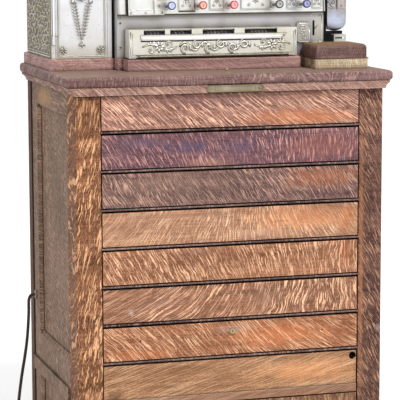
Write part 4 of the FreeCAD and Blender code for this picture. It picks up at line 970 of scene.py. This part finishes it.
case_side = right_face(case_high.x, case_front, floor_z)
side_run = case_high.y - case_front
side_middle = side_run / 2 + 10
case_tall = case_high.z - floor_z
case_side.border(14, 6, side_run - 6, 86, 1.4, 1.0, 8.0)
case_side.border(26, 100, side_run - 6, case_tall - 8, 1.4, 1.0, 8.0)
case_side.rosette(side_middle, 165, 26, 10, 1.8)
for hand in (-1, 1):
    case_side.vine(side_middle + hand * 66 - 34, 165, 68, 44, 2.0, 1.8, hand, 11)
    case_side.vine(side_middle + hand * 56 - 48, 46, 96, 36, 1.8, 1.6, hand, 12)
case_side.piece("case_side_relief", nickel_cast)

case_back = back_face(case_high.x, case_high.y, floor_z)
back_run = case_high.x - case_low.x
case_back.border(8, 8, back_run - 8, case_tall - 10, 1.4, 1.0, 10.0)
case_back.border(60, 40, back_run - 60, case_tall - 40, 1.1, 0.9, 12.0)
case_back.rosette(back_run / 2, case_tall / 2, 30, 10, 1.8)
for hand in (-1, 1):
    case_back.vine(back_run / 2 + hand * 90 - 50, case_tall / 2, 100, 46, 2.0, 1.8, hand, 13)
case_back.screws([(a, b) for a in (16, back_run / 2, back_run - 16) for b in (16, case_tall - 18)],
                 3.2)
case_back.piece("case_back_relief", nickel_cast)

# Indicator hood and tablets
hood_wide = hood_high.x - hood_low.x
hood_front = front(hood_low.x, hood_low.y, hood_low.z)
hood_front.border(22, 24, hood_wide - 22, 88, 1.4, 1.2, 3.0)
hood_front.vine(20, 13, hood_wide - 40, 19, 1.3, 1.5, 1, 21)
for side in (0, 1):
    hood_front.vine(5 + side * (hood_wide - 22), 56, 12, 12, 1.0, 1.1, 1, 22)
hood_front.beads(3, 12, hood_wide - 12, 7, 1.5, 1.2)
hood_front.piece("hood_front_relief", nickel_bright)
for name, end in (("left", left_face(hood_low.x, hood_high.y, hood_low.z)),
                  ("right", right_face(hood_high.x, hood_low.y, hood_low.z))):
    middle = (hood_high.y - hood_low.y) / 2
    end.rosette(middle, 62, 30, 10, 2.0)
    for side in (-1, 1):
        end.vine(middle + side * 66 - 30, 55, 60, 46, 2.0, 1.8, side, 23)
        end.scroll(middle + side * 26, 112, 14, pi / 2, side, 2.0, 1.8, 1.5)
    end.beads(5, 14, middle * 2 - 14, 8, 1.6, 1.2)
    end.piece("hood_%s_relief" % name, nickel_bright)
hood_back = back_face(hood_high.x, hood_high.y, hood_low.z)
hood_back.border(14, 10, hood_wide - 14, 84, 1.4, 1.2, 8.0)
hood_back.vine(60, 47, hood_wide - 120, 44, 1.9, 1.6, 1, 24)
hood_back.piece("hood_back_relief", nickel_cast)

TABLETS = 8
for number in range(TABLETS):
    x = hood_low.x + TABLET_MARGIN + (number + 0.5) * (hood_wide - 2 * TABLET_MARGIN) / TABLETS
    figures("tablet_figure_%d" % (number + 1), str((number * 5) % 10) + str(number), 26.0,
            shift(x, hood_low.y + TABLET_BEHIND - 0.1, hood_low.z + TABLET_MIDDLE) @ upright,
            figure_black, "cabinet", 0.2)

# Motor housing, slip box, name plate, board
motor = front(motor_low.x, motor_low.y, motor_low.z)
for a, level, start, turn in ((11, 62, pi, -1), (12, 92, 0.0, 1), (11, 122, pi, -1)):
    motor.scroll(a, level, 9, start, turn, 1.9, 1.8, 1.5)
for level in (50, 76, 106, 138):
    for lean in (0.5, 1.5, 2.5):
        motor.leaf(11, level, lean, 11, 2.0, 1.5, 0.5)
motor.line([(22, 48), (22, 184)], 1.0, 1.2)
motor.border(24.5, 50, 42, 184, 0.8, 0.8, 4.0)
motor.screws(((33, 56), (33, 178)), 2.6, 1.0)
motor.piece("motor_front_relief", motor_raised)
motor_side = right_face(motor_high.x, motor_low.y, motor_low.z)
motor_side.border(8, 26, 126, 182, 1.2, 1.0, 8.0)
motor_side.rosette(67, 104, 24, 8, 1.6)
for hand in (-1, 1):
    motor_side.vine(67 + hand * 40 - 15, 104, 30, 26, 1.6, 1.5, hand, 31)
motor_side.screws(((14, 32), (120, 32), (14, 176), (120, 176)), 3.0)
motor_side.piece("motor_side_relief", motor_raised)

slip_top = top_face(slip_low.x, slip_low.y, slip_high.z)
slip_top.screws(((45, 46),), 2.6, 0.8)
slip_top.piece("slip_lid_screw", nickel_bright, "slip_box_lid")
board_pin = top_face(0, front_y, board_top)
board_pin.screws(((-260, 30), (250, 30)), 2.6, 0.8)
board_pin.piece("board_screws", brass_bright, slot_name="brass")

plate_frame = front(plate_low.x, front_y - MOULDING_PROJECTION - NAME_PLATE_THICKNESS, plate_low.z)
plate_wide = plate_high.x - plate_low.x
plate_tall = plate_high.z - plate_low.z
plate_frame.border(1.6, 1.4, plate_wide - 1.6, plate_tall - 1.4, 0.9, 0.7, 6.0)
plate_frame.border(17, 3.6, plate_wide - 17, plate_tall - 3.6, 0.5, 0.4, 1.0)
plate_frame.piece("name_plate_frame", brass_raised, slot_name="brass")

# Cord: the route of the CAD tube and the coil's half turns, as one spline
FRONT_PLANE = -224.35
CORD_BEHIND_FRONT = 399.0
COIL_RADIUS = 46.0
COIL_PITCH = 7.8
COIL_LEAD = 8.0
COIL_TAIL = 26.0
HALF_TURNS = 6
TURN_POINTS = 8
cord_y = FRONT_PLANE + CORD_BEHIND_FRONT
route = ((-334.0, 389.5), (-340.5, 389.5), (-345.3, 385.0), (-347.4, 378.5), (-348.0, 370.0),
         (-347.8, 354.0), (-349.5, 324.0), (-352.6, 288.0), (-358.0, 252.0), (-365.0, 214.0),
         (-370.4, 178.0), (-374.8, 142.0), (-378.5, 106.0), (-384.5, 74.0), (-395.0, 44.0),
         (-413.0, 20.0), (-438.0, 6.5), (-466.0, 3.5), (-492.0, 3.5))
points = [(x, cord_y, z) for x, z in route]
inward = [COIL_RADIUS - number * COIL_PITCH / 2 for number in range(HALF_TURNS)]
here = Vector((points[-1][0] - COIL_LEAD, cord_y, points[-1][2]))
heading = -1
for number, radius in enumerate(inward + [COIL_RADIUS - HALF_TURNS * COIL_PITCH / 2] + inward[::-1]):
    climb = COIL_PITCH if number == HALF_TURNS else 0.0
    swell = radius / cos(pi / TURN_POINTS / 2)
    for step in range(TURN_POINTS):
        angle = pi * (step + 0.5) / TURN_POINTS
        points.append((here.x + heading * swell * sin(angle),
                       here.y + heading * (radius - swell * cos(angle)),
                       here.z + climb * (1 - cos(angle)) / 2))
    here += Vector((0, 2 * radius * heading, climb))
    heading = -heading
for share in (0.5, 1.0):
    points.append((here.x + heading * COIL_TAIL * share, here.y, here.z))
cord_data = bpy.data.curves.new("cord", "CURVE")
cord_data.dimensions = "3D"
cord_data.resolution_u = 6
cord_data.bevel_depth = 3.5 * MM
cord_data.bevel_resolution = 4
cord_data.use_fill_caps = True
spline = cord_data.splines.new("NURBS")
spline.points.add(len(points) - 1)
for target, point in zip(spline.points, points):
    target.co = (*(c * MM for c in point), 1.0)
spline.order_u = 3
spline.use_endpoint_u = True
cord = settle("cord", cord_data, cloth_cord, "cabinet")
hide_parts("cord_tube", "cord_coil")

# Floor: it glows a little to be white, less near the part so that the shadow shows
floor_mesh = bpy.data.meshes.new("floor")
floor_build = bmesh.new()
bmesh.ops.create_grid(floor_build, x_segments=2, y_segments=2, size=40.0)
floor_build.to_mesh(floor_mesh)
floor_build.free()
stand("floor", floor_mesh, (0, 0, -0.0005))
floor_material = bpy.data.materials.new("floor")
floor_material.use_nodes = True
g = Nodes(floor_material.node_tree)
g.tree.nodes.clear()
diffuse = g.node("ShaderNodeBsdfDiffuse")
diffuse.inputs["Color"].default_value = (0.8, 0.8, 0.8, 1)
rays = g.node("ShaderNodeLightPath").outputs
seen = g.math("MAXIMUM", rays["Is Camera Ray"], g.times(rays["Is Glossy Ray"], 0.25))
away = g.node("ShaderNodeVectorMath", operation="LENGTH")
g.put(away.inputs[0], g.node("ShaderNodeTexCoord").outputs["Object"])
glow = g.node("ShaderNodeEmission")
g.put(glow.inputs["Strength"], g.times(seen, g.fade(away.outputs["Value"], 1.4, 5.0, 0.34, 0.6)))
both = g.node("ShaderNodeAddShader")
g.put(both.inputs[0], diffuse.outputs[0])
g.put(both.inputs[1], glow.outputs[0])
g.put(g.node("ShaderNodeOutputMaterial").inputs["Surface"], both.outputs[0])
floor_mesh.materials.append(floor_material)

# Light: a white world that is dimmer as a light than as a backdrop, and three lamps
world = bpy.data.worlds.new("studio")
bpy.context.scene.world = world
world.use_nodes = True
g = Nodes(world.node_tree)
rays = g.node("ShaderNodeLightPath").outputs
seen = g.math("MAXIMUM", rays["Is Camera Ray"], rays["Is Glossy Ray"])
seen = g.math("MAXIMUM", seen, rays["Is Transmission Ray"])
backdrop = world.node_tree.nodes["Background"].inputs
backdrop["Color"].default_value = (1, 1, 1, 1)
g.put(backdrop["Strength"], g.fade(seen, 0.0, 1.0, 0.55, 1.0))
for name, place, target, size, power in (
        ("key", (1.2, -4.4, 6.0), (0, 0, 0.7), 1.8, 377),
        ("fill", (-3.4, -2.2, 1.8), (0, 0, 0.7), 2.4, 30),
        ("rim", (-0.8, 3.2, 3.0), (0, 0, 0.8), 2.0, 36)):
    lamp = bpy.data.lights.new(name, "AREA")
    lamp.shape = "DISK"
    lamp.size = size
    lamp.energy = power
    aim = Vector(target) - Vector(place)
    stand(name, lamp, place).rotation_euler = aim.to_track_quat("-Z", "Y").to_euler()

camera_data = bpy.data.cameras.new("camera")
camera_data.lens = 177.2
camera_data.sensor_width = 36.0
camera_data.clip_start = 0.1
camera_data.clip_end = 100.0
camera = stand("camera", camera_data, (-1.2160, -4.04975, 1.2048))
yaw, pitch, roll = (radians(a) for a in (16.68, 8.01, -0.17))
camera.rotation_euler = (Matrix.Rotation(-yaw, 3, "Z") @ Matrix.Rotation(pi / 2 - pitch, 3, "X")
                         @ Matrix.Rotation(roll, 3, "Z")).to_euler()
bpy.context.scene.camera = camera
bpy.context.scene.view_settings.view_transform = "Standard"
